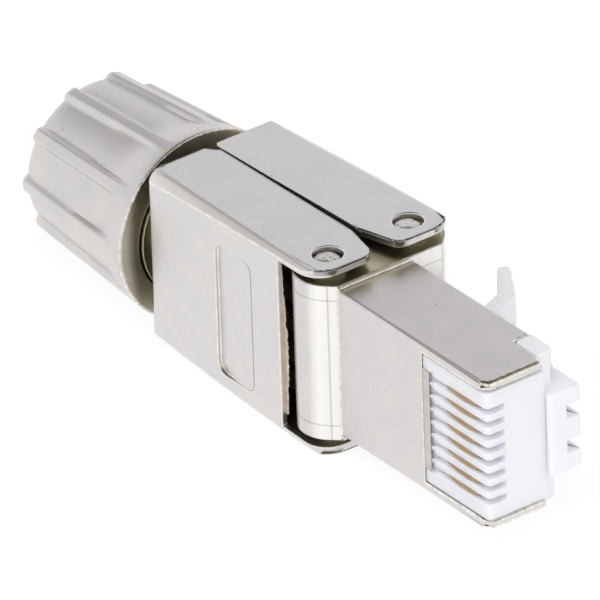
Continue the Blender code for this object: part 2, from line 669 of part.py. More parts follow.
def build_carrier(material):
    """White insert that holds the contacts in the nose."""
    inner_y = CAVITY_Y - FIT
    half = CAVITY_HALF - FIT
    plan = [(-CARRIER_LENGTH, -inner_y), (-WINDOW_LENGTH + FIT, -inner_y),
            (-WINDOW_LENGTH + FIT, -NOSE_Y + CARRIER_FLUSH),
            (0, -NOSE_Y + CARRIER_FLUSH, CARRIER_FRONT_RADIUS),
            (0, STRAP_Y - CLOSE_FIT), (-STRAP_LENGTH - FIT, STRAP_Y - CLOSE_FIT),
            (-STRAP_LENGTH - FIT, inner_y), (-CARRIER_LENGTH, inner_y)]
    carrier = prism("contact_carrier", rounded(plan), -half, half)
    well_front = -SLOT_LENGTH + WELL_LENGTH
    slot_floor = -NOSE_Y + SLOT_DEPTH
    well_floor = BOARD_FACE + FIT
    for z in slot_places():
        slot = prism("slot", [
            (CUT, -NOSE_Y - CUT), (-SLOT_LENGTH, -NOSE_Y - CUT), (-SLOT_LENGTH, well_floor),
            (well_front, well_floor), (well_front, slot_floor), (CUT, slot_floor)],
            z - SLOT_WIDTH / 2, z + SLOT_WIDTH / 2)
        cut(carrier, slot)
    comb = box("comb_recess", (-SLOT_LENGTH - COMB_LENGTH, -NOSE_Y - CUT, -COMB_WIDTH / 2),
               (-SLOT_LENGTH + FIT, -NOSE_Y + COMB_DEPTH, COMB_WIDTH / 2))
    roof = BOARD_FACE - CONTACT_THICKNESS - 3 * FIT
    pocket = box("board_pocket", (-CARRIER_LENGTH - CUT, roof, -TONGUE_HALF - FIT),
                 (-BOARD_FRONT + FIT, BOARD_BACK + FIT, TONGUE_HALF + FIT))
    cut(carrier, comb, pocket)
    return as_part(carrier, material)


def build_contact(name, z, material):
    """Gold-plated contact, from the nose's front edge down to the board."""
    top = -NOSE_Y + CONTACT_RECESS + CONTACT_THICKNESS / 2
    foot = BOARD_FACE - FIT - CONTACT_THICKNESS / 2
    path = [(-CONTACT_TIP, top + CONTACT_HOOK)]
    for step in range(ARC_STEPS + 1):
        turn = math.radians(90) * step / ARC_STEPS
        path.append((-CONTACT_TIP - CONTACT_BEND * (1 - math.cos(turn)),
                     top + CONTACT_BEND * (1 - math.sin(turn))))
    path += [(-CONTACT_CREST, top), (-CONTACT_SLOPE, top + CONTACT_DROP),
             (-CONTACT_FOOT, foot), (-CONTACT_TAIL, foot)]
    contact = ribbon(name, path, CONTACT_WIDTH, CONTACT_THICKNESS)
    contact.location = (0, 0, z)
    return as_part(contact, material)


def build_board(material):
    """Circuit board that joins the contacts to the terminals."""
    shoulder = -NOSE_LENGTH - BARREL_RADIUS / 2
    plan = [(-BOARD_FRONT, -TONGUE_HALF), (-BOARD_FRONT, TONGUE_HALF), (shoulder, TONGUE_HALF),
            (shoulder, BOARD_HALF), (BOARD_REAR, BOARD_HALF), (BOARD_REAR, -BOARD_HALF),
            (shoulder, -BOARD_HALF), (shoulder, -TONGUE_HALF)]
    board = prism("circuit_board", plan, BOARD_FACE, BOARD_BACK, 'XZ')
    return as_part(board, material)


def terminal_places():
    """Z of the terminals on each side."""
    middle = (TERMINALS_PER_SIDE - 1) / 2
    return [(index - middle) * TERMINAL_PITCH for index in range(TERMINALS_PER_SIDE)]


def terminal_reach(side):
    """Y of a terminal's two ends: its foot on the board and its jaws."""
    foot = BOARD_FACE - FIT if side < 0 else BOARD_BACK + FIT
    jaws = PIVOT_OFFSET + side * (TERMINAL_BLOCK_HALF - 2 * FIT)
    return foot, jaws


def build_terminal_block(material):
    """Plastic block with wire channels that hold the insulation-piercing terminals."""
    half_y = TERMINAL_BLOCK_HALF
    half_z = TERMINAL_BLOCK_WIDTH / 2
    rear = -BLOCK_START - TERMINAL_BLOCK_LENGTH
    block = box("idc_block", (rear, PIVOT_OFFSET - half_y, -half_z),
                (-BLOCK_START, PIVOT_OFFSET + half_y, half_z))
    soften(block, TERMINAL_BLOCK_EDGE, 2)
    tongue = box("terminal_tongue",
                 (-BLOCK_START - FIT, CAVITY_Y - PASSAGE_WIDTH, -CAVITY_HALF + FIT),
                 (-BLOCK_START + TERMINAL_TONGUE, CAVITY_Y - 2 * FIT, CAVITY_HALF - FIT))
    join(block, tongue)
    slot = box("board_slot", (BOARD_REAR - FIT, BOARD_FACE - FIT, -BOARD_HALF - FIT),
               (-BLOCK_START + CUT, BOARD_BACK + FIT, BOARD_HALF + FIT))
    cut(block, slot)
    blade_x = -BLOCK_START - TERMINAL_SETBACK
    for side in (-1, 1):
        face = PIVOT_OFFSET + side * half_y
        for z in terminal_places():
            depth = face - side * WIRE_CHANNEL_DEPTH
            beyond = face + side * CUT
            channel = box("wire_channel", (rear - CUT, min(depth, beyond), z - WIRE_CHANNEL / 2),
                          (-BLOCK_START + CUT, max(depth, beyond), z + WIRE_CHANNEL / 2))
            inner = BOARD_FACE if side < 0 else BOARD_BACK
            blade_slot = box(
                "blade_slot",
                (blade_x - TERMINAL_THICKNESS / 2 - FIT, min(inner, beyond),
                 z - TERMINAL_WIDTH / 2 - FIT),
                (blade_x + TERMINAL_THICKNESS / 2 + FIT, max(inner, beyond),
                 z + TERMINAL_WIDTH / 2 + FIT))
            cut(block, channel, blade_slot)
    return as_part(block, material)


def build_terminal(name, side, z, material):
    """Forked terminal that bites through a wire's insulation."""
    foot, jaws = terminal_reach(side)
    half = TERMINAL_WIDTH / 2
    jaw = TERMINAL_JAW / 2
    flare = TERMINAL_FLARE / 2
    depth = jaws - side * TERMINAL_JAW_DEPTH
    lead = jaws - side * TERMINAL_LEAD
    outline = [(foot, z - half), (foot, z + half), (lead, z + half), (jaws, z + flare),
               (lead, z + jaw), (depth, z + jaw), (depth, z - jaw), (lead, z - jaw),
               (jaws, z - flare), (lead, z - half)]
    blade_x = -BLOCK_START - TERMINAL_SETBACK
    half_blade = TERMINAL_THICKNESS / 2
    blade = prism(name, outline, blade_x - half_blade, blade_x + half_blade, 'YZ')
    return as_part(blade, material)


def build_wire_manager(material):
    """Plastic guide that fans the wires from the cable to the two rows of channels."""
    front = -BLOCK_START - TERMINAL_BLOCK_LENGTH - FIT
    rear = SLEEVE_FRONT_X + FIT
    half_y = TERMINAL_BLOCK_HALF
    half_z = TERMINAL_BLOCK_WIDTH / 2
    corner = MANAGER_CORNER
    plan = [(PIVOT_OFFSET - half_y, -half_z, corner), (PIVOT_OFFSET + half_y, -half_z, corner),
            (PIVOT_OFFSET + half_y, half_z, corner), (PIVOT_OFFSET - half_y, half_z, corner)]
    manager = prism("wire_manager", rounded(plan), rear, front, 'YZ')
    bore = cylinder("cable_bore", MANAGER_BORE_RADIUS, rear - CUT, front + CUT,
                    AXIS_POINT, 'X', 32)
    cut(manager, bore)
    for side in (-1, 1):
        face = PIVOT_OFFSET + side * half_y
        depth = face - side * WIRE_CHANNEL_DEPTH
        beyond = face + side * CUT
        for z in terminal_places():
            channel = box("guide_channel", (rear + MANAGER_WALL, min(depth, beyond),
                                            z - WIRE_CHANNEL / 2),
                          (front + CUT, max(depth, beyond), z + WIRE_CHANNEL / 2))
            cut(manager, channel)
    return as_part(manager, material)


def build_clamp_sleeve(material):
    """Threaded sleeve that the doors close round, with collet fingers at its rear."""
    waist = FLANGE_LENGTH
    thread = waist + WAIST_LENGTH
    collet = thread + THREAD_LENGTH
    tip = collet + COLLET_LENGTH
    root = THREAD_RADIUS - COLLET_STEP
    profile = [(CABLE_RADIUS, tip), (COLLET_TIP_RADIUS, tip), (root, collet),
               (THREAD_RADIUS, collet), (THREAD_RADIUS, thread), (WAIST_RADIUS, thread),
               (WAIST_RADIUS, waist), (FLANGE_RADIUS, waist), (FLANGE_RADIUS, 0),
               (CABLE_RADIUS, 0)]
    sleeve = turned("clamp_sleeve", profile)
    sleeve.location = (SLEEVE_FRONT_X, CABLE_OFFSET, 0)
    slot_start = SLEEVE_FRONT_X - collet - COLLET_SLOT_SETBACK
    slot_end = SLEEVE_FRONT_X - tip - CUT
    for index in range(COLLET_SLOTS // 2):
        turn = Matrix.Rotation(math.pi / 4 + math.tau * index / COLLET_SLOTS, 4, 'X')
        slot = box("collet_slot", (slot_end, -THREAD_RADIUS, -COLLET_SLOT_WIDTH / 2),
                   (slot_start, THREAD_RADIUS, COLLET_SLOT_WIDTH / 2))
        slot.matrix_world = Matrix.Translation(AXIS_POINT) @ turn
        cut(sleeve, slot)
    return as_part(sleeve, material, smooth=True)


def nut_top(distance):
    """Radius of the ribs' tops at a distance behind the rim."""
    return NUT_RIM_RADIUS - NUT_TAPER * distance / NUT_LENGTH


def build_clamp_ring(material):
    """Ring that slides with the nut and closes the collet fingers."""
    rear_inside = NUT_LENGTH - NUT_REAR_WALL - FIT
    outer = nut_top(NUT_LENGTH) - NUT_RIB_DEPTH - NUT_SEAT_WALL - FIT
    front = rear_inside - RING_THICKNESS
    profile = [(NUT_HOLE_RADIUS - FIT, rear_inside), (outer, rear_inside), (outer, front),
               (NUT_HOLE_RADIUS - FIT, front)]
    ring = turned("clamp_ring", profile)
    ring.location = (NUT_FRONT_X, CABLE_OFFSET, 0)
    return as_part(ring, material, smooth=True)


def build_rib():
    """One rib of the nut along +Y: round-topped, tapering and rounded off at its rear end."""
    half = NUT_RIB_WIDTH / 2
    corner = NUT_RIB_ROUND
    end = NUT_LENGTH - NUT_RIB_END
    stations = [(NUT_RIM_BAND - FIT, 0), (end - corner, 0), (end - 0.3 * corner, 0.3 * corner),
                (end, corner)]
    rings = []
    for distance, drop in stations:
        top = nut_top(distance) - drop
        sunk = nut_top(distance) - NUT_RIB_DEPTH - NUT_RIB_SUNK
        section = rounded([(sunk, half), (sunk, -half), (top, -half, NUT_RIB_ROUND),
                           (top, half, NUT_RIB_ROUND)])
        rings.append([Vector((NUT_FRONT_X - distance, y, z)) for y, z in section])
    return loft("nut_rib", rings)


def build_cap_nut(material):
    """Ribbed cap nut with a conical bore."""
    band = NUT_RIM_BAND
    blend = NUT_GROOVE_BLEND
    rear_inside = NUT_LENGTH - NUT_REAR_WALL
    tail = nut_top(NUT_LENGTH) - NUT_RIB_DEPTH
    seat = tail - NUT_SEAT_WALL
    outer = [(tail - NUT_TAIL_EDGE, NUT_LENGTH), (tail, NUT_LENGTH - NUT_TAIL_EDGE)]
    for step in range(4):
        turn = math.radians(90) * step / 3
        distance = band + blend * (1 - math.sin(turn))
        rise = NUT_RIB_DEPTH * (1 - math.cos(turn))
        outer.append((nut_top(distance) - NUT_RIB_DEPTH + rise, distance))
    outer.append((NUT_RIM_RADIUS, NUT_EDGE))
    outer.append((NUT_RIM_RADIUS - NUT_EDGE, 0))
    inner = [(NUT_MOUTH_RADIUS, 0), (NUT_BORE_RADIUS, NUT_MOUTH_RADIUS - NUT_BORE_RADIUS),
             (NUT_BORE_RADIUS, NUT_LENGTH - NUT_TAPER_LENGTH), (seat, rear_inside - NUT_SEAT_LENGTH),
             (seat, rear_inside), (NUT_HOLE_RADIUS, rear_inside),
             (NUT_HOLE_RADIUS, NUT_LENGTH)]
    nut = turned("cap_nut", outer + inner)
    nut.location = (NUT_FRONT_X, CABLE_OFFSET, 0)

    for index in range(NUT_RIB_COUNT):
        turn = Matrix.Rotation(math.pi + math.tau * index / NUT_RIB_COUNT, 4, 'X')
        rib = build_rib()
        rib.matrix_world = Matrix.Translation(AXIS_POINT) @ turn
        join(nut, rib)
    return as_part(nut, material, smooth=True)


def build_latch_mount(material):
    """White strap at the latch side of the nose, with the latch's three-finned root."""
    strap_front = -STRAP_SETBACK
    bottom = STRAP_Y + CLOSE_FIT
    plan = rounded([(-STRAP_LENGTH + FIT, bottom, NOTCH_RADIUS), (strap_front, bottom),
                    (strap_front, NOSE_Y, STRAP_CORNER), (-STRAP_LENGTH + FIT, NOSE_Y)])
    strap = prism("latch_mount", plan, -NOSE_HALF, NOSE_HALF)
    rear = LATCH_ROOT_FRONT - LATCH_ROOT_LENGTH
    outer = NOSE_Y + LATCH_RISE
    half = LATCH_ROOT_WIDTH / 2
    root = prism("latch_root", rounded([
        (rear, bottom), (LATCH_ROOT_FRONT, bottom, LATCH_ROOT_RADIUS),
        (LATCH_ROOT_FRONT, outer, LATCH_ROOT_RADIUS), (rear, outer)]), -half, half)
    join(strap, root)
    for side in (-1, 1):
        inner = LATCH_FIN_WIDTH / 2 * side
        beyond = inner + LATCH_GROOVE * side
        groove = box("fin_groove", (rear - CUT, outer - LATCH_GROOVE_DEPTH, min(inner, beyond)),
                     (LATCH_ROOT_FRONT + CUT, outer + CUT, max(inner, beyond)))
        cut(strap, groove)
    return as_part(strap, material)


def latch_hinge():
    """Place of the living hinge: the inner rear edge of the latch's root."""
    return Vector((LATCH_ROOT_FRONT - LATCH_ROOT_LENGTH - FIT,
                   NOSE_Y + LATCH_RISE - LATCH_HINGE_THICKNESS, 0))


def build_latch_lever(material):
    """Springy latch: wide arm, shoulders, narrow tab, riser and thumb pad."""
    hinge = latch_hinge()
    outer_y = NOSE_Y + LATCH_RISE
    arm = Vector((hinge.x - LATCH_ARM_REACH + LATCH_RISER_START, outer_y + LATCH_ARM_RISE))
    bend = arm + Vector((-LATCH_BEND_REACH, LATCH_BEND_RISE))
    tip = bend + Vector((-LATCH_PAD_REACH, LATCH_PAD_RISE))
    slope = (arm - Vector((hinge.x, outer_y))).normalized()
    inward = Vector((-slope.y, slope.x))
    if inward.y > 0:
        inward = -inward
    pad_slope = (tip - bend).normalized()
    pad_inward = Vector((pad_slope.y, -pad_slope.x))
    if pad_inward.y > 0:
        pad_inward = -pad_inward
    arm_inner = arm + inward * LATCH_ARM_THICKNESS + slope * LATCH_RISER_HEEL
    bend_inner = bend + pad_inward * LATCH_ARM_THICKNESS + pad_slope * LATCH_RISER_TOE
    tip_inner = tip + pad_inward * LATCH_PAD_THICKNESS
    heel = Vector((hinge.x, outer_y)) + inward * LATCH_ARM_THICKNESS + slope * LATCH_HINGE_LENGTH
    side_view = rounded([
        (hinge.x, hinge.y), (hinge.x, outer_y), (*arm, LATCH_BEND_RADIUS),
        (*bend, LATCH_BEND_RADIUS), (*tip, LATCH_TIP_RADIUS), (*tip_inner, LATCH_TIP_RADIUS),
        (*bend_inner, LATCH_INNER_RADIUS), (*arm_inner, LATCH_INNER_RADIUS),
        (*heel, LATCH_INNER_RADIUS)])
    half = LATCH_ROOT_WIDTH / 2
    lever = prism("latch_lever", side_view, -half, half)
    low = tip.x - CUT
    high_y = tip.y + CUT
    shoulder = -LATCH_SHOULDER
    tab = LATCH_TAB_WIDTH / 2
    for side in (-1, 1):
        corners = [(low, side * (half + CUT)), (shoulder, side * (half + CUT)),
                   (shoulder, side * tab, LATCH_SHOULDER_RADIUS), (low, side * tab)]
        trim = prism("tab_side", rounded(corners), 0, high_y, 'XZ')
        cut(lever, trim)
    set_origin(lever, hinge)
    return as_part(lever, material)


def build():
    start_scene()
    cast = make_material("satin_nickel_casting", (0.66, 0.64, 0.63), 0.38, 1.0)
    nickel = make_material("turned_nickel", (0.68, 0.65, 0.64), 0.32, 1.0)
    steel = make_material("pin_steel", (0.62, 0.61, 0.60), 0.35, 1.0)
    white = make_material("white_plastic", (0.86, 0.88, 0.92), 0.42, 0.0)
    insert = make_material("insert_plastic", (0.84, 0.86, 0.90), 0.45, 0.0)
    gold = make_material("gold_plating", (0.80, 0.60, 0.28), 0.25, 1.0)
    board = make_material("board_laminate", (0.05, 0.22, 0.10), 0.5, 0.0)
    tin = make_material("terminal_bronze", (0.72, 0.62, 0.45), 0.35, 1.0)
    dark = make_material("dark_plastic", (0.06, 0.06, 0.065), 0.5, 0.0)

    build_plug_frame(cast)
    build_pin("contact_side_pin", -1, steel)
    build_pin("latch_side_pin", 1, steel)
    build_door("contact_side_door", -1, cast)
    build_door("latch_side_door", 1, cast)
    build_carrier(insert)
    for index, z in enumerate(slot_places(), 1):
        build_contact(f"contact_{index}", z, gold)
    build_board(board)
    build_terminal_block(dark)
    index = 1
    for side in (-1, 1):
        for z in terminal_places():
            build_terminal(f"idc_{index}", side, z, tin)
            index += 1
    build_wire_manager(dark)
    build_clamp_sleeve(nickel)
    build_clamp_ring(steel)
    build_cap_nut(nickel)
    build_latch_mount(white)
    build_latch_lever(white)


build()
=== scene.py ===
import math

import bmesh
import bpy
from mathutils import Matrix, Vector, noise


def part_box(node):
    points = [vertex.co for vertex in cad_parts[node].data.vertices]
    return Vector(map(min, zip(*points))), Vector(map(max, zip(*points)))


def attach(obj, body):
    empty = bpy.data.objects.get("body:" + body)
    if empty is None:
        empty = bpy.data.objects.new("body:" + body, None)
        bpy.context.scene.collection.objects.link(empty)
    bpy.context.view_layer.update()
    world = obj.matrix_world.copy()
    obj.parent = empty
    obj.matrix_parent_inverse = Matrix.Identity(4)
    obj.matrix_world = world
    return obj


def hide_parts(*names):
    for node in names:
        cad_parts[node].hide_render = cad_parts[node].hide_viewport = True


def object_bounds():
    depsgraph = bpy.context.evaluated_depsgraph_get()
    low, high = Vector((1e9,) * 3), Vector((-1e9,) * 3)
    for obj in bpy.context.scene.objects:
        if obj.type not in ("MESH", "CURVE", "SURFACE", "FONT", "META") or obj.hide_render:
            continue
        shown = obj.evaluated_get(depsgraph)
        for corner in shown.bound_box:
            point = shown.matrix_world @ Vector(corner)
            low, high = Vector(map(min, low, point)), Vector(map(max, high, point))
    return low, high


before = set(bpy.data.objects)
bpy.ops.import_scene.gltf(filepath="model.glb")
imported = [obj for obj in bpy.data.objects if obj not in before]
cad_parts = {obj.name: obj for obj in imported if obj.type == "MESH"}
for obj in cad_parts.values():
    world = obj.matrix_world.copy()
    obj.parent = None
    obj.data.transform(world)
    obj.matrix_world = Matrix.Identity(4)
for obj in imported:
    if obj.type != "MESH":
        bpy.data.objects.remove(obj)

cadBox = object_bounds()
mm = 0.001


# camera: the angles and the scale read from the photograph
camera = {
    "turn": 36.4,           # degrees from the nose's axis towards the contact side
    "height": 30.64,        # degrees above the floor
    "roll": 1.95,           # degrees, the plug leans to the left
    "target": (-25.1, -0.15, 0.0),  # millimetres, in the middle of the picture
    "pixelsPerMm": 14.52,
    "imageSize": 600,
    "distance": 1500.0,     # millimetres, a long lens
    "sensor": 36.0,
    "clip": (0.01, 20.0),   # metres
}


def makeCamera():
    turn = math.radians(camera["turn"])
    height = math.radians(camera["height"])
    roll = math.radians(camera["roll"])
    back = Vector((math.cos(height) * math.cos(turn), -math.cos(height) * math.sin(turn),
                   math.sin(height)))
    level = Vector((math.sin(turn), math.cos(turn), 0))
    plumb = back.cross(level)
    right = level * math.cos(roll) - plumb * math.sin(roll)
    up = plumb * math.cos(roll) + level * math.sin(roll)
    lens = bpy.data.cameras.new("camera")
    lens.sensor_width = camera["sensor"]
    width = camera["imageSize"] / camera["pixelsPerMm"]
    lens.lens = camera["sensor"] * camera["distance"] / width
    lens.clip_start, lens.clip_end = camera["clip"]
    eye = bpy.data.objects.new("camera", lens)
    place = Matrix((right, up, back)).transposed().to_4x4()
    place.translation = (Vector(camera["target"]) + back * camera["distance"]) * mm
    eye.matrix_world = place
    bpy.context.scene.collection.objects.link(eye)
    bpy.context.scene.camera = eye


# light: a pale room, bright at the horizon and dim overhead, and soft lamps
room = {
    "floorGap": 0.02,       # millimetres under the plug
    "floorSize": 3.0,       # metres
    "floorWhite": 0.95,
    "floorGlow": 0.80,      # share of the floor that is plain white in the picture
    "floorStrength": 1.075,
    # sky colours by height: 0.5 is the horizon, 1 is straight up
    "sky": [(0.0, (1.0, 0.985, 0.97)), (0.52, (0.97, 0.96, 0.95)), (0.60, (0.96, 0.95, 0.95)),
            (0.68, (0.97, 0.97, 0.995)), (0.765, (0.925, 0.93, 1.0)), (0.81, (0.66, 0.66, 0.67)),
            (0.86, (0.27, 0.262, 0.20)), (0.93, (0.115, 0.108, 0.062)),
            (1.0, (0.10, 0.095, 0.055))],
    # name, place from the plug's middle in metres, size in metres, power in watts
    "lamps": [("lampAbove", (0.16, -0.22, 0.60), 0.45, 1.8),
              ("lampFront", (0.60, -0.30, 0.34), 0.22, 0.8)],
}


def addNode(tree, kind, inputs=None, **settings):
    item = tree.nodes.new(kind)
    for name, value in settings.items():
        setattr(item, name, value)
    for key, value in (inputs or {}).items():
        if isinstance(value, bpy.types.NodeSocket):
            tree.links.new(value, item.inputs[key])
        else:
            item.inputs[key].default_value = value
    return item


def addMath(tree, operation, *values):
    inputs = dict(enumerate(values))
    return addNode(tree, "ShaderNodeMath", inputs, operation=operation).outputs[0]


def addMix(tree, factor, first, second):
    inputs = {"Factor": factor, "A": first, "B": second}
    return addNode(tree, "ShaderNodeMix", inputs, data_type="RGBA").outputs["Result"]


# the part's own x, y and z, and those of the surface's direction
def addPlace(tree):
    where = addNode(tree, "ShaderNodeTexCoord").outputs["Object"]
    return addNode(tree, "ShaderNodeSeparateXYZ", {0: where}).outputs


def addFacing(tree):
    normal = addNode(tree, "ShaderNodeNewGeometry").outputs["Normal"]
    return addNode(tree, "ShaderNodeSeparateXYZ", {0: normal}).outputs


def addRamp(tree, factor, stops):
    ramp = addNode(tree, "ShaderNodeValToRGB", {"Fac": factor})
    elements = ramp.color_ramp.elements
    while len(elements) < len(stops):
        elements.new(0.5)
    for element, (place, color) in zip(elements, stops):
        element.position = place
        shade = color if isinstance(color, tuple) else (color, color, color)
        element.color = (*shade, 1)
    return ramp.outputs["Color"]


def closeMesh(shape, name):
    mesh = bpy.data.meshes.new(name)
    shape.to_mesh(mesh)
    shape.free()
    return mesh


def makeRoom():
    world = bpy.data.worlds.new("room")
    world.use_nodes = True
    tree = world.node_tree
    tree.nodes.clear()
    where = addNode(tree, "ShaderNodeTexCoord").outputs["Generated"]
    upward = addNode(tree, "ShaderNodeSeparateXYZ", {0: where}).outputs["Z"]
    sky = addRamp(tree, addMath(tree, "MULTIPLY_ADD", upward, 0.5, 0.5), room["sky"])
    glow = addNode(tree, "ShaderNodeBackground", {"Color": sky, "Strength": 1.0})
    white = addNode(tree, "ShaderNodeBackground", {"Color": (1, 1, 1, 1), "Strength": 1.0})
    path = addNode(tree, "ShaderNodeLightPath").outputs
    mixed = addNode(tree, "ShaderNodeMixShader", {0: path["Is Camera Ray"], 1: glow.outputs[0],
                                                  2: white.outputs[0]})
    addNode(tree, "ShaderNodeOutputWorld", {"Surface": mixed.outputs[0]})
    bpy.context.scene.world = world

    material = bpy.data.materials.new("floorWhite")
    material.use_nodes = True
    tree = material.node_tree
    tree.nodes.clear()
    shade = room["floorWhite"]
    plain = addNode(tree, "ShaderNodeBsdfDiffuse", {"Color": (shade, shade, shade, 1)})
    bright = addNode(tree, "ShaderNodeEmission", {"Color": (1, 1, 1, 1),
                                                  "Strength": room["floorStrength"]})
    path = addNode(tree, "ShaderNodeLightPath").outputs
    seen = addMath(tree, "MAXIMUM", path["Is Camera Ray"], path["Is Glossy Ray"])
    seen = addMath(tree, "MAXIMUM", seen, path["Is Transmission Ray"])
    share = addMath(tree, "MULTIPLY", seen, room["floorGlow"])
    mixed = addNode(tree, "ShaderNodeMixShader", {0: share, 1: plain.outputs[0],
                                                  2: bright.outputs[0]})
    addNode(tree, "ShaderNodeOutputMaterial", {"Surface": mixed.outputs[0]})
    shape = bmesh.new()
    bmesh.ops.create_grid(shape, x_segments=1, y_segments=1, size=room["floorSize"] / 2)
    mesh = closeMesh(shape, "floor")
    mesh.materials.append(material)
    floor = bpy.data.objects.new("floor", mesh)
    floor.location = (camera["target"][0] * mm, 0, cadBox[0].z - room["floorGap"] * mm)
    bpy.context.scene.collection.objects.link(floor)

    for name, place, size, power in room["lamps"]:
        lamp = bpy.data.lights.new(name, "AREA")
        lamp.size = size
        lamp.energy = power
        holder = bpy.data.objects.new(name, lamp)
        aim = Vector(camera["target"]) * mm
        holder.location = aim + Vector(place)
        holder.rotation_euler = (-Vector(place)).to_track_quat("-Z", "Y").to_euler()
        holder.visible_glossy = False
        bpy.context.scene.collection.objects.link(holder)


# start of a shader group with named inputs and outputs
def startGroup(name, inputs, outputs):
    group = bpy.data.node_groups.new(name, "ShaderNodeTree")
    for label, kind, value in inputs:
        socket = group.interface.new_socket(label, in_out="INPUT", socket_type=kind)
        socket.default_value = value
    for label, kind in outputs:
        group.interface.new_socket(label, in_out="OUTPUT", socket_type=kind)
    start = group.nodes.new("NodeGroupInput").outputs
    end = group.nodes.new("NodeGroupOutput").inputs
    return group, start, end


# cloudy satin skin: slow clouds of two tints, fine grain and small dark pits
skin = {
    "cloudEdges": [(0.36, 0.0), (0.64, 1.0)],   # noise value, share of the cool tint
    "pitEdges": [(0.77, 0.0), (0.80, 1.0)],     # noise value, share of a pit
    "pitScale": 0.38,       # of the grain's scale
    "pitColor": (0.22, 0.20, 0.16),
    "pitHeight": -1.5,      # heights beside the grain's own
    "cloudHeight": 6.0,
}


def makeMottle():
    group, start, end = startGroup("mottle", [
        ("Warm", "NodeSocketColor", (0.7, 0.67, 0.65, 1)),
        ("Cool", "NodeSocketColor", (0.67, 0.67, 0.69, 1)),
        ("Cloud Size", "NodeSocketFloat", 300.0),
        ("Grain Size", "NodeSocketFloat", 6000.0),
        ("Grain Tint", "NodeSocketFloat", 0.06),
        ("Pit Amount", "NodeSocketFloat", 0.1),
        ("Roughness", "NodeSocketFloat", 0.4),
        ("Roughness Spread", "NodeSocketFloat", 0.08),
    ], [("Color", "NodeSocketColor"), ("Roughness", "NodeSocketFloat"),
        ("Height", "NodeSocketFloat")])
    where = addNode(group, "ShaderNodeTexCoord").outputs["Object"]
    cloud = addNode(group, "ShaderNodeTexNoise", {"Vector": where, "Scale": start["Cloud Size"],
                                                  "Detail": 5.0, "Roughness": 0.62}).outputs[0]
    tint = addMix(group, addRamp(group, cloud, skin["cloudEdges"]), start["Warm"], start["Cool"])
    grain = addNode(group, "ShaderNodeTexNoise", {"Vector": where, "Scale": start["Grain Size"],
                                                  "Detail": 3.0, "Roughness": 0.65}).outputs[0]
    centred = addMath(group, "ADD", grain, -0.5)
    light = addMath(group, "MULTIPLY_ADD", centred, start["Grain Tint"], 1.0)
    grained = addNode(group, "ShaderNodeVectorMath", {0: tint, "Scale": light},
                      operation="SCALE").outputs[0]
    pitSize = addMath(group, "MULTIPLY", start["Grain Size"], skin["pitScale"])
    pit = addNode(group, "ShaderNodeTexNoise", {"Vector": where, "Scale": pitSize, "Detail": 1.0})
    spot = addRamp(group, pit.outputs[0], skin["pitEdges"])
    amount = addMath(group, "MULTIPLY", spot, start["Pit Amount"])
    group.links.new(addMix(group, amount, grained, (*skin["pitColor"], 1)), end["Color"])
    rough = addMath(group, "MULTIPLY_ADD", centred, start["Roughness Spread"], start["Roughness"])
    group.links.new(rough, end["Roughness"])
    sunk = addMath(group, "MULTIPLY_ADD", spot, skin["pitHeight"], grain)
    wave = addMath(group, "MULTIPLY_ADD", cloud, skin["cloudHeight"], sunk)
    group.links.new(wave, end["Height"])
    return group


# painted reflection streaks: upright bands along Z between two places on X
def makeReflectionStreaks():
    group, start, end = startGroup("reflectionStreaks", [
        ("From", "NodeSocketFloat", -0.02),
        ("To", "NodeSocketFloat", -0.01),
        ("Across", "NodeSocketFloat", 2200.0),
        ("Along", "NodeSocketFloat", 60.0),
    ], [("Band", "NodeSocketFloat"), ("Inside", "NodeSocketFloat"),
        ("Place", "NodeSocketFloat")])
    place = addPlace(group)
    behind = addMath(group, "GREATER_THAN", place["X"], start["From"])
    ahead = addMath(group, "LESS_THAN", place["X"], start["To"])
    upright = addMath(group, "LESS_THAN", addMath(group, "ABSOLUTE", addFacing(group)["Z"]), 0.5)
    inside = addMath(group, "MULTIPLY", addMath(group, "MULTIPLY", behind, ahead), upright)
    reach = addMath(group, "SUBTRACT", start["To"], start["From"])
    along = addMath(group, "SUBTRACT", place["X"], start["From"])
    group.links.new(addMath(group, "DIVIDE", along, reach), end["Place"])
    stretched = addNode(group, "ShaderNodeCombineXYZ", {
        0: addMath(group, "MULTIPLY", place["X"], start["Across"]),
        1: addMath(group, "MULTIPLY", place["Y"], start["Across"]),
        2: addMath(group, "MULTIPLY", place["Z"], start["Along"])}).outputs[0]
    cloud = addNode(group, "ShaderNodeTexNoise", {"Vector": stretched, "Scale": 1.0,
                                                  "Detail": 4.0, "Roughness": 0.6})
    band = addMath(group, "ADD", cloud.outputs[0], -0.5)
    group.links.new(addMath(group, "MULTIPLY", band, inside), end["Band"])
    group.links.new(inside, end["Inside"])
    return group


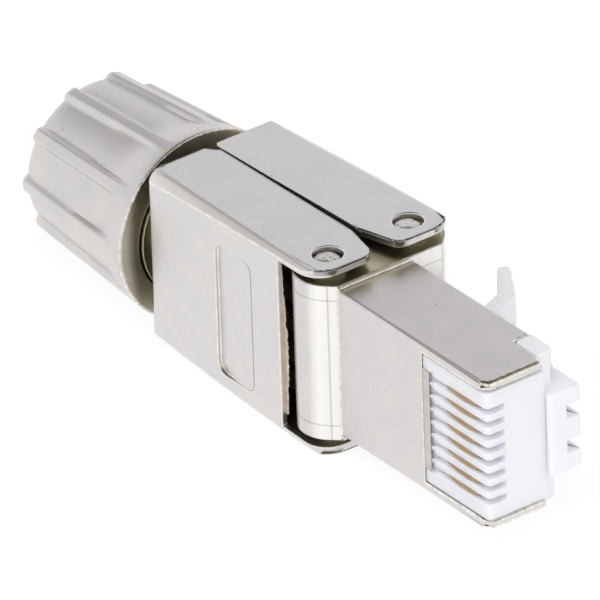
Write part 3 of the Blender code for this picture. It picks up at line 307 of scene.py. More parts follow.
# metals: two tints, noise scales per metre, pits, roughness, and a bump's strength and its depth
# in millimetres
finishes = {
    "casting": {"warm": (0.745, 0.72, 0.705), "cool": (0.715, 0.70, 0.705), "cloud": 520.0,
                "grain": 5600.0, "tint": 0.20, "pits": 0.45, "rough": 0.34, "spread": 0.18,
                "bump": 0.16, "depth": 0.010},
    "frameCasting": {"warm": (0.745, 0.70, 0.69), "cool": (0.70, 0.675, 0.68), "cloud": 520.0,
                     "grain": 5600.0, "tint": 0.20, "pits": 0.45, "rough": 0.34, "spread": 0.18,
                     "bump": 0.16, "depth": 0.010},
    # edge finishes: the edges are polished, hence the low roughness, but their pale tints are
    # painted highlight and their olive tints painted dark reflection
    "castingEdgeHighlight": {"warm": (0.96, 0.94, 0.89), "cool": (0.72, 0.69, 0.60), "cloud": 1700.0,
                    "grain": 4200.0, "tint": 0.4, "pits": 1.0, "rough": 0.15, "spread": 0.14,
                    "bump": 0.6, "depth": 0.020},
    "doorEdgeHighlight": {"warm": (0.90, 0.875, 0.83), "cool": (0.76, 0.73, 0.66), "cloud": 1700.0,
                 "grain": 3600.0, "tint": 0.2, "pits": 0.5, "rough": 0.26, "spread": 0.14,
                 "bump": 0.28, "depth": 0.014},
    "turned": {"warm": (0.735, 0.70, 0.68), "cool": (0.67, 0.66, 0.665), "cloud": 300.0,
               "grain": 4600.0, "tint": 0.14, "pits": 0.35, "rough": 0.38, "spread": 0.16,
               "bump": 0.16, "depth": 0.010},
    # the nut rim's edge finish: its pale tint is painted highlight, its olive tint painted dark
    # reflection
    "turnedEdgeHighlight": {"warm": (0.93, 0.90, 0.85), "cool": (0.66, 0.63, 0.57), "cloud": 2200.0,
                   "grain": 4200.0, "tint": 0.3, "pits": 0.9, "rough": 0.20, "spread": 0.14,
                   "bump": 0.5, "depth": 0.022},
    # the nut's mouth, its bore and the sleeve behind it: olive tints that are painted shade
    "mouthConeShade": {"warm": (0.68, 0.645, 0.55), "cool": (0.60, 0.57, 0.47), "cloud": 400.0,
                  "grain": 4200.0, "tint": 0.2, "pits": 0.3, "rough": 0.36, "spread": 0.12,
                  "bump": 0.2, "depth": 0.012},
    "bore": {"warm": (0.50, 0.48, 0.33), "cool": (0.40, 0.38, 0.26), "cloud": 500.0,
             "grain": 4200.0, "tint": 0.3, "pits": 0.3, "rough": 0.42, "spread": 0.12,
             "bump": 0.2, "depth": 0.012},
    "sleeve": {"warm": (0.60, 0.58, 0.42), "cool": (0.46, 0.44, 0.32), "cloud": 500.0,
               "grain": 4200.0, "tint": 0.3, "pits": 0.3, "rough": 0.30, "spread": 0.10,
               "bump": 0.15, "depth": 0.012},
    "pin": {"warm": (0.78, 0.755, 0.73), "cool": (0.62, 0.60, 0.57), "cloud": 1500.0,
            "grain": 6000.0, "tint": 0.2, "pits": 0.4, "rough": 0.26, "spread": 0.12,
            "bump": 0.3, "depth": 0.012},
    "gold": {"warm": (0.54, 0.37, 0.20), "cool": (0.44, 0.31, 0.18), "cloud": 900.0,
             "grain": 6000.0, "tint": 0.1, "pits": 0.0, "rough": 0.50, "spread": 0.08,
             "bump": 0.05, "depth": 0.006},
    "bronze": {"warm": (0.72, 0.62, 0.45), "cool": (0.66, 0.58, 0.44), "cloud": 900.0,
               "grain": 6000.0, "tint": 0.1, "pits": 0.1, "rough": 0.35, "spread": 0.08,
               "bump": 0.05, "depth": 0.006},
    "greyRecessStrip": {"warm": (0.70, 0.64, 0.61), "cool": (0.60, 0.56, 0.53), "cloud": 900.0,
                     "grain": 4200.0, "tint": 0.25, "pits": 0.2, "rough": 0.42, "spread": 0.1,
                     "bump": 0.3, "depth": 0.012},
    "flash": {"warm": (0.80, 0.70, 0.56), "cool": (0.58, 0.49, 0.37), "cloud": 1800.0,
              "grain": 5200.0, "tint": 0.4, "pits": 0.9, "rough": 0.42, "spread": 0.2,
              "bump": 0.7, "depth": 0.03},
}

# soft is the share of light that passes through the surface
plastics = {
    "whitePlastic": {"warm": (0.915, 0.92, 0.985), "cool": (0.90, 0.91, 0.985), "cloud": 180.0,
                     "grain": 7000.0, "tint": 0.02, "pits": 0.0, "rough": 0.42, "spread": 0.10,
                     "bump": 0.05, "depth": 0.005, "soft": 0.35},
    "insertPlastic": {"warm": (0.90, 0.91, 0.99), "cool": (0.89, 0.905, 0.99), "cloud": 180.0,
                      "grain": 7000.0, "tint": 0.02, "pits": 0.0, "rough": 0.46, "spread": 0.10,
                      "bump": 0.05, "depth": 0.005, "soft": 0.6},
    "darkPlastic": {"warm": (0.075, 0.068, 0.040), "cool": (0.055, 0.050, 0.030),
                    "cloud": 400.0, "grain": 5000.0, "tint": 0.2, "pits": 0.0, "rough": 0.55,
                    "spread": 0.1, "bump": 0.1, "depth": 0.008},
    "boardLaminate": {"warm": (0.05, 0.22, 0.10), "cool": (0.04, 0.18, 0.09), "cloud": 400.0,
                      "grain": 5000.0, "tint": 0.1, "pits": 0.0, "rough": 0.45, "spread": 0.1,
                      "bump": 0.1, "depth": 0.006},
}
softReach = 1.2     # millimetres that light spreads inside the soft plastics


def makeFinish(name, look, mottle, metallic):
    material = bpy.data.materials.new(name)
    material.use_nodes = True
    tree = material.node_tree
    shader = tree.nodes["Principled BSDF"]
    surface = addNode(tree, "ShaderNodeGroup", {
        "Warm": (*look["warm"], 1), "Cool": (*look["cool"], 1), "Cloud Size": look["cloud"],
        "Grain Size": look["grain"], "Grain Tint": look["tint"], "Pit Amount": look["pits"],
        "Roughness": look["rough"], "Roughness Spread": look["spread"]},
        node_tree=mottle, name="skin").outputs
    bump = addNode(tree, "ShaderNodeBump", {"Strength": look["bump"],
                                            "Distance": look["depth"] * mm,
                                            "Height": surface["Height"]})
    tree.links.new(surface["Color"], shader.inputs["Base Color"])
    tree.links.new(surface["Roughness"], shader.inputs["Roughness"])
    tree.links.new(bump.outputs["Normal"], shader.inputs["Normal"])
    shader.inputs["Metallic"].default_value = metallic
    if "soft" in look:
        shader.inputs["Subsurface Weight"].default_value = look["soft"]
        shader.inputs["Subsurface Scale"].default_value = softReach * mm
        shader.inputs["Subsurface Radius"].default_value = (1.0, 1.0, 1.0)
    material.diffuse_color = (*look["warm"], 1)
    return material


# the hinge block's barrel: painted highlight in upright bands with painted reflection streaks, a
# painted shade line at the seam and two fine painted shade lines at the knuckles
barrel = {"from": -21.6, "to": -16.4, "across": 1500.0, "along": 45.0, "tint": 0.22,
          # the painted highlight's colour
          "bright": (0.97, 0.955, 0.92),
          # share of the bright colour, a painted highlight, from the rear of the barrel to its
          # front
          "highlightBands": [(0.0, 0.10), (0.30, 0.0), (0.62, 0.0), (0.70, 0.75), (0.76, 1.0), (0.86, 0.95),
                    (0.91, 0.9), (1.0, 0.8)],
          # painted shade lines: one at the seam's groove, two at the knuckles
          "seam": -17.01, "seamHalf": 0.045, "seamShade": 0.25,
          "knuckle": 4.98, "knuckleHalf": 0.05, "knuckleShade": 0.28,
          # painted olive shade on the level faces under the ears, fading along the nose
          "underEarShadeFrom": -17.0, "underEarShadeTo": -14.2, "underEarShade": (0.62, 0.58, 0.40)}


def addBarrelHighlightsAndShade(material, reflectionStreaks):
    tree = material.node_tree
    tint = tree.nodes["skin"].outputs["Color"]
    highlightBands = addNode(tree, "ShaderNodeGroup", {
        "From": barrel["from"] * mm, "To": barrel["to"] * mm, "Across": barrel["across"],
        "Along": barrel["along"]}, node_tree=reflectionStreaks).outputs
    place = addPlace(tree)
    # painted highlight: the bright colour in upright bands across the barrel
    inside = highlightBands["Inside"]
    share = addMath(tree, "MULTIPLY", addRamp(tree, highlightBands["Place"], barrel["highlightBands"]), inside)
    tint = addMix(tree, share, tint, (*barrel["bright"], 1))
    # painted olive shade on the level faces under the ears
    level = addMath(tree, "GREATER_THAN", addMath(tree, "ABSOLUTE", addFacing(tree)["Z"]), 0.5)
    shadeFade = addNode(tree, "ShaderNodeMapRange", {
        "Value": place["X"], "From Min": barrel["underEarShadeFrom"] * mm,
        "From Max": barrel["underEarShadeTo"] * mm, "To Min": 1.0, "To Max": 0.0},
        interpolation_type="SMOOTHSTEP").outputs["Result"]
    tint = addMix(tree, addMath(tree, "MULTIPLY", level, shadeFade), tint, (*barrel["underEarShade"], 1))
    # painted shade lines at the knuckles and the seam, on top of the painted reflection streaks
    height = addMath(tree, "ABSOLUTE", place["Z"])
    knuckle = addMath(tree, "COMPARE", height, barrel["knuckle"] * mm, barrel["knuckleHalf"] * mm)
    seam = addMath(tree, "COMPARE", place["X"], barrel["seam"] * mm, barrel["seamHalf"] * mm)
    shade = addMath(tree, "MULTIPLY_ADD", highlightBands["Band"], barrel["tint"], 1.0)
    for line, amount in ((knuckle, barrel["knuckleShade"]), (seam, barrel["seamShade"])):
        line = addMath(tree, "MULTIPLY", line, inside)
        shade = addMath(tree, "MULTIPLY_ADD", line, -amount, shade)
    banded = addNode(tree, "ShaderNodeVectorMath", {0: tint, "Scale": shade}, operation="SCALE")
    tree.links.new(banded.outputs[0], tree.nodes["Principled BSDF"].inputs["Base Color"])


# painted olive shade on the doors' inner faces, and painted light on their slopes
inner = {"pivot": -18.95, "middle": 1.275,
         # height of the roof and distance of the wall at the pivot, and how they taper behind it
         "top": 6.70, "topTaper": 0.0257, "side": 5.60, "sideTaper": 0.0128,
         # the inner faces' painted olive shade
         "color": (0.54, 0.51, 0.41),
         # the slopes' painted light, and how far they face upwards
         "slope": (0.87, 0.825, 0.775), "slopeUp": 0.66, "slopeReach": 0.24}


def addInnerShadeAndSlopeLight(material):
    tree = material.node_tree
    place = addPlace(tree)
    behind = addMath(tree, "ADD", place["X"], -inner["pivot"] * mm)
    height = addMath(tree, "ABSOLUTE", place["Z"])
    across = addMath(tree, "ABSOLUTE", addMath(tree, "ADD", place["Y"], -inner["middle"] * mm))
    roof = addMath(tree, "MULTIPLY_ADD", behind, inner["topTaper"], inner["top"] * mm)
    wall = addMath(tree, "MULTIPLY_ADD", behind, inner["sideTaper"], inner["side"] * mm)
    innerShadeMask = addMath(tree, "MULTIPLY", addMath(tree, "LESS_THAN", height, roof),
                     addMath(tree, "LESS_THAN", across, wall))
    # painted light on the slopes, then painted shade on the inner faces
    slope = addMath(tree, "COMPARE", addMath(tree, "ABSOLUTE", addFacing(tree)["Z"]),
                    inner["slopeUp"], inner["slopeReach"])
    tint = addMix(tree, slope, tree.nodes["skin"].outputs["Color"], (*inner["slope"], 1))
    tint = addMix(tree, innerShadeMask, tint, (*inner["color"], 1))
    tree.links.new(tint, tree.nodes["Principled BSDF"].inputs["Base Color"])


# carried-over nodes: finish, edge finish (painted highlight on the metal edges), bevel width in
# millimetres
dressed = {
    "plug_frame": ("frameCasting", "castingEdgeHighlight", 0.34),
    "contact_side_door": ("casting", "doorEdgeHighlight", 0.10),
    "latch_side_door": ("casting", "doorEdgeHighlight", 0.10),
    "contact_side_pin": ("pin", "pin", 0.22),
    "latch_side_pin": ("pin", "pin", 0.22),
    # the sleeve's olive finish is painted shade
    "clamp_sleeve": ("sleeve", "sleeve", 0.05),
    "clamp_ring": ("pin", "pin", 0.05),
    "latch_mount": ("whitePlastic", "whitePlastic", 0.10),
    "latch_lever": ("whitePlastic", "whitePlastic", 0.08),
    "contact_carrier": ("insertPlastic", "insertPlastic", 0.05),
    "circuit_board": ("boardLaminate", "boardLaminate", 0.03),
    "idc_block": ("darkPlastic", "darkPlastic", 0.04),
    "wire_manager": ("darkPlastic", "darkPlastic", 0.04),
}
dressed.update({f"idc_{index}": ("bronze", "bronze", 0.03) for index in range(1, 9)})

# shares of the bevel width on a node's edges: boxes in x, y and height above or below the middle
edgeRules = {
    "plug_frame": {"rest": 0.20, "boxes": [
        ((-30, -10, 5.75), (10, 12, 5.95), 0.40),       # the nose's long edges
        ((-0.45, -10, 0), (10, 12, 10), 1.0)]},         # its front edges, the most worn
    "latch_side_door": {"rest": 1.0, "boxes": [
        ((-37, 1.2, 6.6), (-36.05, 1.75, 7), 0.0),      # the slit's end, already rounded
        ((-37, 5.6, 6.3), (-35.9, 8, 7.1), 0.0)]},      # and the rear corners
}
edges = {"sharpest": 32,    # degrees; flatter edges stay as they are
         "segments": 4,
         "weld": 0.0015,    # millimetres
         "flat": 0.6}       # degrees that the triangles of one flat face may differ by


def makeEdgeWidths(rules):
    group = bpy.data.node_groups.new("edgeWidths", "GeometryNodeTree")
    group.interface.new_socket("Geometry", in_out="INPUT", socket_type="NodeSocketGeometry")
    group.interface.new_socket("Geometry", in_out="OUTPUT", socket_type="NodeSocketGeometry")
    start = group.nodes.new("NodeGroupInput").outputs
    end = group.nodes.new("NodeGroupOutput").inputs
    bend = addNode(group, "GeometryNodeInputMeshEdgeAngle").outputs["Unsigned Angle"]
    parts = addNode(group, "ShaderNodeSeparateXYZ",
                    {0: addNode(group, "GeometryNodeInputPosition").outputs[0]}).outputs
    places = (parts["X"], parts["Y"], addMath(group, "ABSOLUTE", parts["Z"]))
    share = rules["rest"]
    for low, high, part in rules["boxes"]:
        inside = 1.0
        for place, least, most in zip(places, low, high):
            above = addMath(group, "GREATER_THAN", place, least * mm)
            below = addMath(group, "LESS_THAN", place, most * mm)
            inside = addMath(group, "MULTIPLY", inside, addMath(group, "MULTIPLY", above, below))
        step = addMath(group, "SUBTRACT", part, share)
        share = addMath(group, "MULTIPLY_ADD", inside, step, share)
    sharp = addMath(group, "GREATER_THAN", bend, math.radians(edges["sharpest"]))
    stored = addNode(group, "GeometryNodeStoreNamedAttribute", {
        "Geometry": start[0], "Name": "bevel_weight_edge"}, data_type="FLOAT", domain="EDGE")
    value = [socket for socket in stored.inputs if socket.name == "Value" and socket.enabled][0]
    group.links.new(addMath(group, "MULTIPLY", share, sharp), value)
    group.links.new(stored.outputs["Geometry"], end[0])
    return group


def dressNode(name, finish, edge, width, materials):
    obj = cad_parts[name]
    obj.data.materials.clear()
    obj.data.materials.append(materials[finish])
    obj.data.materials.append(materials[edge])
    weld = obj.modifiers.new("weld", "WELD")
    weld.merge_threshold = edges["weld"] * mm
    flat = obj.modifiers.new("flat", "DECIMATE")    # joins the triangles of each flat face
    flat.decimate_type = "DISSOLVE"
    flat.angle_limit = math.radians(edges["flat"])
    if name in edgeRules:
        widths = obj.modifiers.new("edge widths", "NODES")
        widths.node_group = makeEdgeWidths(edgeRules[name])
    bevel = obj.modifiers.new("edges", "BEVEL")
    bevel.width = width * mm
    bevel.segments = edges["segments"]
    bevel.limit_method = "WEIGHT" if name in edgeRules else "ANGLE"
    bevel.angle_limit = math.radians(edges["sharpest"])
    bevel.use_clamp_overlap = False
    # the bevels take the edge finish, which on the metals is painted highlight
    bevel.material = 1
    smooth = obj.modifiers.new("smooth", "WEIGHTED_NORMAL")
    smooth.keep_sharp = False
    obj.data.shade_smooth()


def addPiece(name, mesh, body, slot, *looks):
    for look in looks:
        mesh.materials.append(look)
    piece = bpy.data.objects.new(name, mesh)
    bpy.context.scene.collection.objects.link(piece)
    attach(piece, body)
    return piece


def addThickness(piece, width, offset):
    thick = piece.modifiers.new("thickness", "SOLIDIFY")
    thick.thickness = width * mm
    thick.offset = offset


def smoothstep(low, high, value):
    share = min(1, max(0, (value - low) / (high - low)))
    return share * share * (3 - 2 * share)


# cap nut: rings of points from the mouth over the rim, the ribs and the rear end to the bore
nut = {
    "body": "nut",
    "ribs": 10,
    "ribTop": 0.30,         # half width of a rib's flat top, millimetres
    "ribFoot": 0.66,        # half width at its foot
    "ribDepth": 0.45,
    "rimRadius": 7.2,
    "rearRadius": 6.32,
    "rimBand": 0.30,        # from the rim's front back to where the grooves begin
    "grooveRun": 3.4,       # the grooves' soft beginning
    "edge": 0.12,           # rounding of the rim
    "edgeSteps": 4,
    "fineTo": 3.0,          # the rings of points stand closer together ahead of here
    "fineStep": 0.22,
    "coarseStep": 0.8,
    "lastGap": 0.3,
    "endRun": 0.45,         # the ribs' rounded rear end
    "endSteps": 5,
    "endCurve": 1.5,
    "endTop": 0.2,          # how far the ribs' tops end below the grooves
    "endFloor": 0.28,       # and how far the grooves themselves go down there
    "mouth": 6.98,          # the mouth's shallow face, from here down to the bore
    "coneDepth": 0.06,
    "bore": 5.42,
    "boreEdge": 0.05,
    "boreEnd": 5.2,         # distances from the rear end
    "seatEnd": 2.0,
    "holeEnd": 0.8,
    "seat": 4.82,           # radius
    "hole": 4.0,            # radius
    "holeEdge": 0.15,
    "rearFace": 0.5,        # the flat rear face begins this far inside the grooves
    "steps": 26,            # points in one rib and its groove
    "spacing": (0.35, 0.65),    # even and squared share, which puts more points on the rib
    "wobble": 0.018,        # unevenness of the turned surface
    "wobbleAlong": 0.35,    # its scales
    "wobbleRound": 2.2,
    "sharp": 40,            # degrees
}


def nutRadius(distance, length):
    share = distance / length
    return nut["rimRadius"] + (nut["rearRadius"] - nut["rimRadius"]) * share


# each station along the nut: distance, radius, depth of the grooves there, material
def makeNutStations(length):
    outside, rim, inside, face = range(4)
    edge = nut["edge"]
    stations = [(0.0, nut["mouth"], 0, face)]
    for step in range(1, nut["edgeSteps"] + 1):
        turn = math.pi / 2 * step / nut["edgeSteps"]
        stations.append((edge * (1 - math.cos(turn)),
                         nut["rimRadius"] - edge * (1 - math.sin(turn)), 0, rim))
    along = edge
    while along < length - nut["endRun"] - nut["lastGap"]:
        along += nut["fineStep"] if along < nut["fineTo"] else nut["coarseStep"]
        along = min(along, length - nut["endRun"])
        share = smoothstep(nut["rimBand"], nut["rimBand"] + nut["grooveRun"], along)
        stations.append((along, nutRadius(along, length), nut["ribDepth"] * share, outside))
    tail = nutRadius(length, length) - nut["ribDepth"]
    for step in range(1, nut["endSteps"] + 1):
        turn = math.pi / 2 * step / nut["endSteps"]
        along = length - nut["endRun"] * (1 - math.sin(turn))
        drop = 1 - math.cos(turn)
        fall = (nut["ribDepth"] + nut["endTop"]) * drop ** nut["endCurve"]
        top = nutRadius(along, length) - fall
        stations.append((along, top, max(0, top - tail + nut["endFloor"] * drop), outside))
    return stations + [
        (length, tail - nut["rearFace"], 0, outside),
        (length, nut["hole"] + nut["holeEdge"], 0, outside),
        (length - nut["holeEdge"], nut["hole"], 0, outside),
        (length - nut["holeEnd"], nut["hole"], 0, inside),
        (length - nut["holeEnd"], nut["seat"], 0, inside),
        (length - nut["seatEnd"], nut["seat"], 0, inside),
        (length - nut["boreEnd"], nut["bore"], 0, inside),
        (nut["coneDepth"] + nut["boreEdge"], nut["bore"], 0, inside),
        (nut["coneDepth"], nut["bore"] + nut["boreEdge"], 0, face)]


def makeNut(materials):
    low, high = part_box("cap_nut")
    front = high.x / mm
    axis = ((low.y + high.y) / 2, (low.z + high.z) / 2)
    stations = makeNutStations((high.x - low.x) / mm)
    pitch = math.tau / nut["ribs"]
    even, squared = nut["spacing"]
    offsets = []
    for step in range(nut["steps"]):
        share = step / nut["steps"] - 0.5
        offsets.append(pitch * (share * even + squared * share * abs(share) * 2))
    angles = [math.pi + pitch * rib + offset for rib in range(nut["ribs"]) for offset in offsets]
    shape = bmesh.new()
    rings = []
    for along, radius, depth, look in stations:
        ring = []
        for index, angle in enumerate(angles):
            offset = abs(offsets[index % nut["steps"]]) * radius
            fall = (offset - nut["ribTop"]) / (nut["ribFoot"] - nut["ribTop"])
            groove = min(1, max(0, fall)) ** 2
            uneven = noise.noise(Vector((along * nut["wobbleAlong"],
                                         math.cos(angle) * nut["wobbleRound"],
                                         math.sin(angle) * nut["wobbleRound"])))
            reach = (radius - depth * groove + uneven * nut["wobble"] * (look == 0)) * mm
            ring.append(shape.verts.new((front * mm - along * mm,
                                         axis[0] + reach * math.cos(angle),
                                         axis[1] + reach * math.sin(angle))))
        rings.append(ring)
    for index, near in enumerate(rings):
        following = (index + 1) % len(rings)
        far = rings[following]
        for corner in range(len(near)):
            after = (corner + 1) % len(near)
            face = shape.faces.new((near[corner], far[corner], far[after], near[after]))
            face.material_index = stations[following][3]
            face.smooth = True
    bmesh.ops.recalc_face_normals(shape, faces=shape.faces)
    mesh = closeMesh(shape, "nutShell")
    mesh.set_sharp_from_angle(angle=math.radians(nut["sharp"]))
    # the rim takes painted highlight, the bore and the mouth painted olive shade
    piece = addPiece("nutShell", mesh, nut["body"], "turned_nickel", materials["turned"],
                     materials["turnedEdgeHighlight"], materials["bore"], materials["mouthConeShade"])
    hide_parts("cap_nut")


# comb recess behind the contact slots, lined with a grey, slightly rippled metal strip
comb = {
    "front": -6.42, "rear": -7.30, "half": 3.98,
    "face": -3.25,          # the insert's outer face
    "depth": 0.03, "thickness": 0.08,
    "play": 0.04,           # the strip is this much shorter than the recess
    "back": 0.01,           # and sits this far back in it
    "squares": (3, 40),     # along and across the recess
    "ripple": 0.02, "rippleScale": (2, 30),
}


def makeCombStrip(materials):
    shape = bmesh.new()
    size = (comb["front"] - comb["rear"] - comb["play"], 2 * comb["half"])
    middle = ((comb["front"] + comb["rear"]) / 2 - comb["back"], comb["face"] + comb["depth"])
    along, across = comb["squares"]
    grid = bmesh.ops.create_grid(shape, x_segments=along, y_segments=across, size=0.5)
    for vertex in grid["verts"]:
        ripple = noise.noise(Vector((vertex.co.x * comb["rippleScale"][0],
                                     vertex.co.y * comb["rippleScale"][1], 0)))
        place = (middle[0] + vertex.co.x * size[0], middle[1] + ripple * comb["ripple"],
                 vertex.co.y * size[1])
        vertex.co = Vector(place) * mm
    for face in shape.faces:
        face.smooth = True
    mesh = closeMesh(shape, "combStrip")
    strip = addPiece("combStrip", mesh, "plug_body", "satin_nickel_casting",
                     materials["greyRecessStrip"])
    addThickness(strip, comb["thickness"], 0)


# rounded ends of the ribs between the slots, and shallow floors of the slots behind the contacts
ribEnd = {
    "pitch": 1.02, "count": 7, "radius": 0.17, "stretch": 2.2, "height": 0.26, "sides": 20,
    "reach": 0.33,          # ahead of the comb recess
    "sunk": 0.16,           # its middle lies this far behind the insert's outer face
    # one floor: front and rear on x, its top at the rear and its underside on y, half width
    "floor": (-4.45, -6.12, -2.97, -2.35, 0.25),
    "floorFront": -2.84,    # top at the front
    "edge": 0.05, "edgeSteps": 2,
}


def makeRibEnds(materials):
    shape = bmesh.new()
    turn = Matrix.Rotation(math.pi / 2, 4, "X")
    long = Matrix.Diagonal((ribEnd["stretch"], 1, 1, 1))
    for index in range(ribEnd["count"]):
        z = (index - (ribEnd["count"] - 1) / 2) * ribEnd["pitch"]
        place = Vector((comb["front"] + ribEnd["reach"], comb["face"] + ribEnd["sunk"], z)) * mm
        bmesh.ops.create_cone(shape, cap_ends=True, segments=ribEnd["sides"],
                              radius1=ribEnd["radius"] * mm, radius2=ribEnd["radius"] * mm,
                              depth=ribEnd["height"] * mm,
                              matrix=Matrix.Translation(place) @ long @ turn)
    ahead, behind, top, bottom, half = ribEnd["floor"]
    corners = [(ahead, ribEnd["floorFront"]), (behind, top), (behind, bottom), (ahead, bottom)]
    for index in range(ribEnd["count"] + 1):
        z = (index - ribEnd["count"] / 2) * ribEnd["pitch"]
        lower = [shape.verts.new(Vector((x, y, z - half)) * mm) for x, y in corners]
        upper = [shape.verts.new(Vector((x, y, z + half)) * mm) for x, y in corners]
        shape.faces.new(lower)
        shape.faces.new(upper)
        for corner in range(4):
            after = (corner + 1) % 4
            shape.faces.new((lower[corner], lower[after], upper[after], upper[corner]))
    bmesh.ops.recalc_face_normals(shape, faces=shape.faces)
    for face in shape.faces:
        face.smooth = True
    mesh = closeMesh(shape, "ribEnds")
    ends = addPiece("ribEnds", mesh, "plug_body", "insert_plastic", materials["insertPlastic"])
    soft = ends.modifiers.new("edges", "BEVEL")
    soft.width = ribEnd["edge"] * mm
    soft.segments = ribEnd["edgeSteps"]
    soft.limit_method = "ANGLE"


# gold blades in the slots, their tops crowned and their front ends bent down
blade = {
    "width": 0.44, "thickness": 0.28, "pitch": 1.02, "count": 8, "crown": 0.04, "strips": 6,
    # path along the top, from the front: x, y in millimetres
    "path": [(-1.30, -2.45), (-1.36, -2.56), (-1.50, -2.68), (-1.75, -2.78), (-2.1, -2.85),
             (-2.5, -2.89), (-3.0, -2.89), (-3.6, -2.84), (-4.2, -2.76), (-4.8, -2.66),
             (-5.1, -2.3), (-5.4, -1.5), (-5.75, -0.72), (-6.1, -0.62), (-9.7, -0.62)],
}


def makeBlades(materials):
    path = [Vector((x, y, 0)) for x, y in blade["path"]]
    for index in range(blade["count"]):
        z = (index - (blade["count"] - 1) / 2) * blade["pitch"]
        shape = bmesh.new()
        rows = []
        for here, place in enumerate(path):
            ahead = path[min(here + 1, len(path) - 1)] - path[max(here - 1, 0)]
            outward = Vector((ahead.y, -ahead.x, 0)).normalized()
            row = []
            for strip in range(blade["strips"] + 1):
                across = strip / blade["strips"] * 2 - 1
                sunk = outward * -blade["crown"] * across ** 4
                lift = Vector((0, 0, z + across * blade["width"] / 2))
                row.append(shape.verts.new((place + sunk + lift) * mm))
            rows.append(row)
        for near, far in zip(rows, rows[1:]):
            for strip in range(blade["strips"]):
                face = shape.faces.new((near[strip], far[strip], far[strip + 1], near[strip + 1]))
                face.smooth = True
        shape.normal_update()
        mesh = closeMesh(shape, "goldBlade")
        piece = addPiece(f"goldBlade{index + 1}", mesh, "plug_body", "gold_plating",
                         materials["gold"])
        addThickness(piece, blade["thickness"], -1)
        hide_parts(f"contact_{index + 1}")


# recessed pin ends in the ears: slightly domed, with a step where the shear cut them
pinEnd = {
    "pivots": (-2.2, 4.75), "x": -18.95, "top": 7.02, "radius": 0.98, "depth": 0.5,
    "rings": 10, "sides": 48, "dome": 0.14,
    # the step: height, distance from the middle, softness and turn in degrees
    "step": 0.06, "stepAt": 0.1, "stepSoft": 0.06, "stepTurn": 35,
    "rough": 0.035, "roughScale": 3,
    "weld": 0.001,          # millimetres, joins the points in the middle
}


def makePinEnds(materials):
    turn = math.radians(pinEnd["stepTurn"])
    soft = pinEnd["stepSoft"]
    grain = pinEnd["roughScale"]
    angles = [math.tau * side / pinEnd["sides"] for side in range(pinEnd["sides"])]
    shape = bmesh.new()
    for y, up in [(y, up) for y in pinEnd["pivots"] for up in (-1, 1)]:
        rings = []
        for ring in range(pinEnd["rings"] + 1):
            share = ring / pinEnd["rings"]
            row = []
            for angle in angles:
                across = share * pinEnd["radius"] * math.cos(angle)
                along = share * pinEnd["radius"] * math.sin(angle)
                edge = across * math.cos(turn) + along * math.sin(turn) - pinEnd["stepAt"]
                height = pinEnd["top"] - pinEnd["dome"] * share ** 4
                height -= pinEnd["step"] * smoothstep(-soft, soft, edge)
                height += pinEnd["rough"] * noise.noise(Vector((across * grain, along * grain, y)))
                row.append(shape.verts.new(Vector((pinEnd["x"] + across, y + along,
                                                   up * height)) * mm))
            rings.append(row)
        foot = up * (pinEnd["top"] - pinEnd["depth"])
        rings.append([shape.verts.new(Vector((pinEnd["x"] + pinEnd["radius"] * math.cos(angle),
                                              y + pinEnd["radius"] * math.sin(angle),
                                              foot)) * mm) for angle in angles])
        for near, far in zip(rings, rings[1:]):
            for side in range(pinEnd["sides"]):
                after = (side + 1) % pinEnd["sides"]
                face = shape.faces.new((near[side], near[after], far[after], far[side]))
                face.smooth = True
    bmesh.ops.remove_doubles(shape, verts=shape.verts, dist=pinEnd["weld"] * mm)
    bmesh.ops.recalc_face_normals(shape, faces=shape.faces)
    mesh = closeMesh(shape, "pinEnds")
    addPiece("pinEnds", mesh, "plug_body", "pin_steel", materials["pin"])


# rough casting flash along the contact side door's front edge
flash = {
    "body": "contact_door", "x": -21.35, "y": -4.38, "low": -5.75, "high": 5.65,
    "steps": 150, "rows": 6, "thickness": 0.10,
    "root": 0.12,           # how far it reaches back over the door's edge
    "reach": 0.42,          # how far it stands out, smooth and ragged
    "ragged": 0.17, "raggedScale": 1.1, "raggedSeed": 3.7, "raggedDetail": (0.6, 2.2, 5),
    "least": 0.03,
    # it swells along the edge like half a wave: where on the wave it starts, how far it runs
    "swellStart": 0.12, "swellRun": 0.95, "swellCurve": 0.6,
    "slim": 0.35,           # share of its reach where it has not swollen
    "wave": 0.05, "waveScale": (3.1, 4), "waveSeed": 9,
}


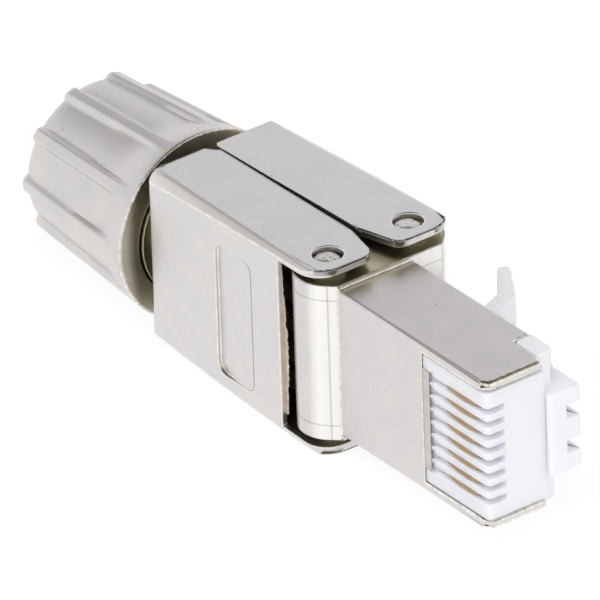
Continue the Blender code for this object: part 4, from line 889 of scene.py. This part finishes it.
def makeFlash(materials):
    shape = bmesh.new()
    root = flash["root"]
    slim = flash["slim"]
    rows = []
    for row in range(flash["rows"] + 1):
        line = []
        across = row / flash["rows"]
        for step in range(flash["steps"] + 1):
            share = step / flash["steps"]
            z = flash["low"] + (flash["high"] - flash["low"]) * share
            onWave = min(1, max(0, share * flash["swellRun"] + flash["swellStart"]))
            swell = math.sin(math.pi * onWave) ** flash["swellCurve"]
            rough = noise.fractal(Vector((z * flash["raggedScale"], flash["raggedSeed"], 0)),
                                  *flash["raggedDetail"])
            tip = (flash["reach"] * swell + flash["ragged"] * rough) * (slim + (1 - slim) * swell)
            tip = max(flash["least"], tip)
            lift = flash["wave"] * noise.noise(Vector((
                z * flash["waveScale"][0], across * flash["waveScale"][1], flash["waveSeed"])))
            place = (flash["x"] - root + (root + tip) * across, flash["y"] + lift * across, z)
            line.append(shape.verts.new(Vector(place) * mm))
        rows.append(line)
    for near, far in zip(rows, rows[1:]):
        for index in range(flash["steps"]):
            face = shape.faces.new((near[index], near[index + 1], far[index + 1], far[index]))
            face.smooth = True
    bmesh.ops.recalc_face_normals(shape, faces=shape.faces)
    mesh = closeMesh(shape, "castingFlash")
    piece = addPiece("castingFlash", mesh, flash["body"], "satin_nickel_casting",
                     materials["flash"])
    addThickness(piece, flash["thickness"], 0)


makeCamera()
makeRoom()
print("camera and room are in")

mottle = makeMottle()
materials = {name: makeFinish(name, look, mottle, 1.0) for name, look in finishes.items()}
materials.update({name: makeFinish(name, look, mottle, 0.0) for name, look in plastics.items()})
# painted highlight bands, reflection streaks and shade on the hinge barrel
addBarrelHighlightsAndShade(materials["frameCasting"], makeReflectionStreaks())
# painted olive shade inside the doors and painted light on their slopes
addInnerShadeAndSlopeLight(materials["casting"])
for name, (finish, edge, width) in dressed.items():
    dressNode(name, finish, edge, width, materials)
print("frame nodes are dressed")

makeNut(materials)
makeCombStrip(materials)
makeRibEnds(materials)
makeBlades(materials)
makePinEnds(materials)
makeFlash(materials)
print("scene pieces are made")

bpy.context.scene.view_settings.view_transform = "Standard"
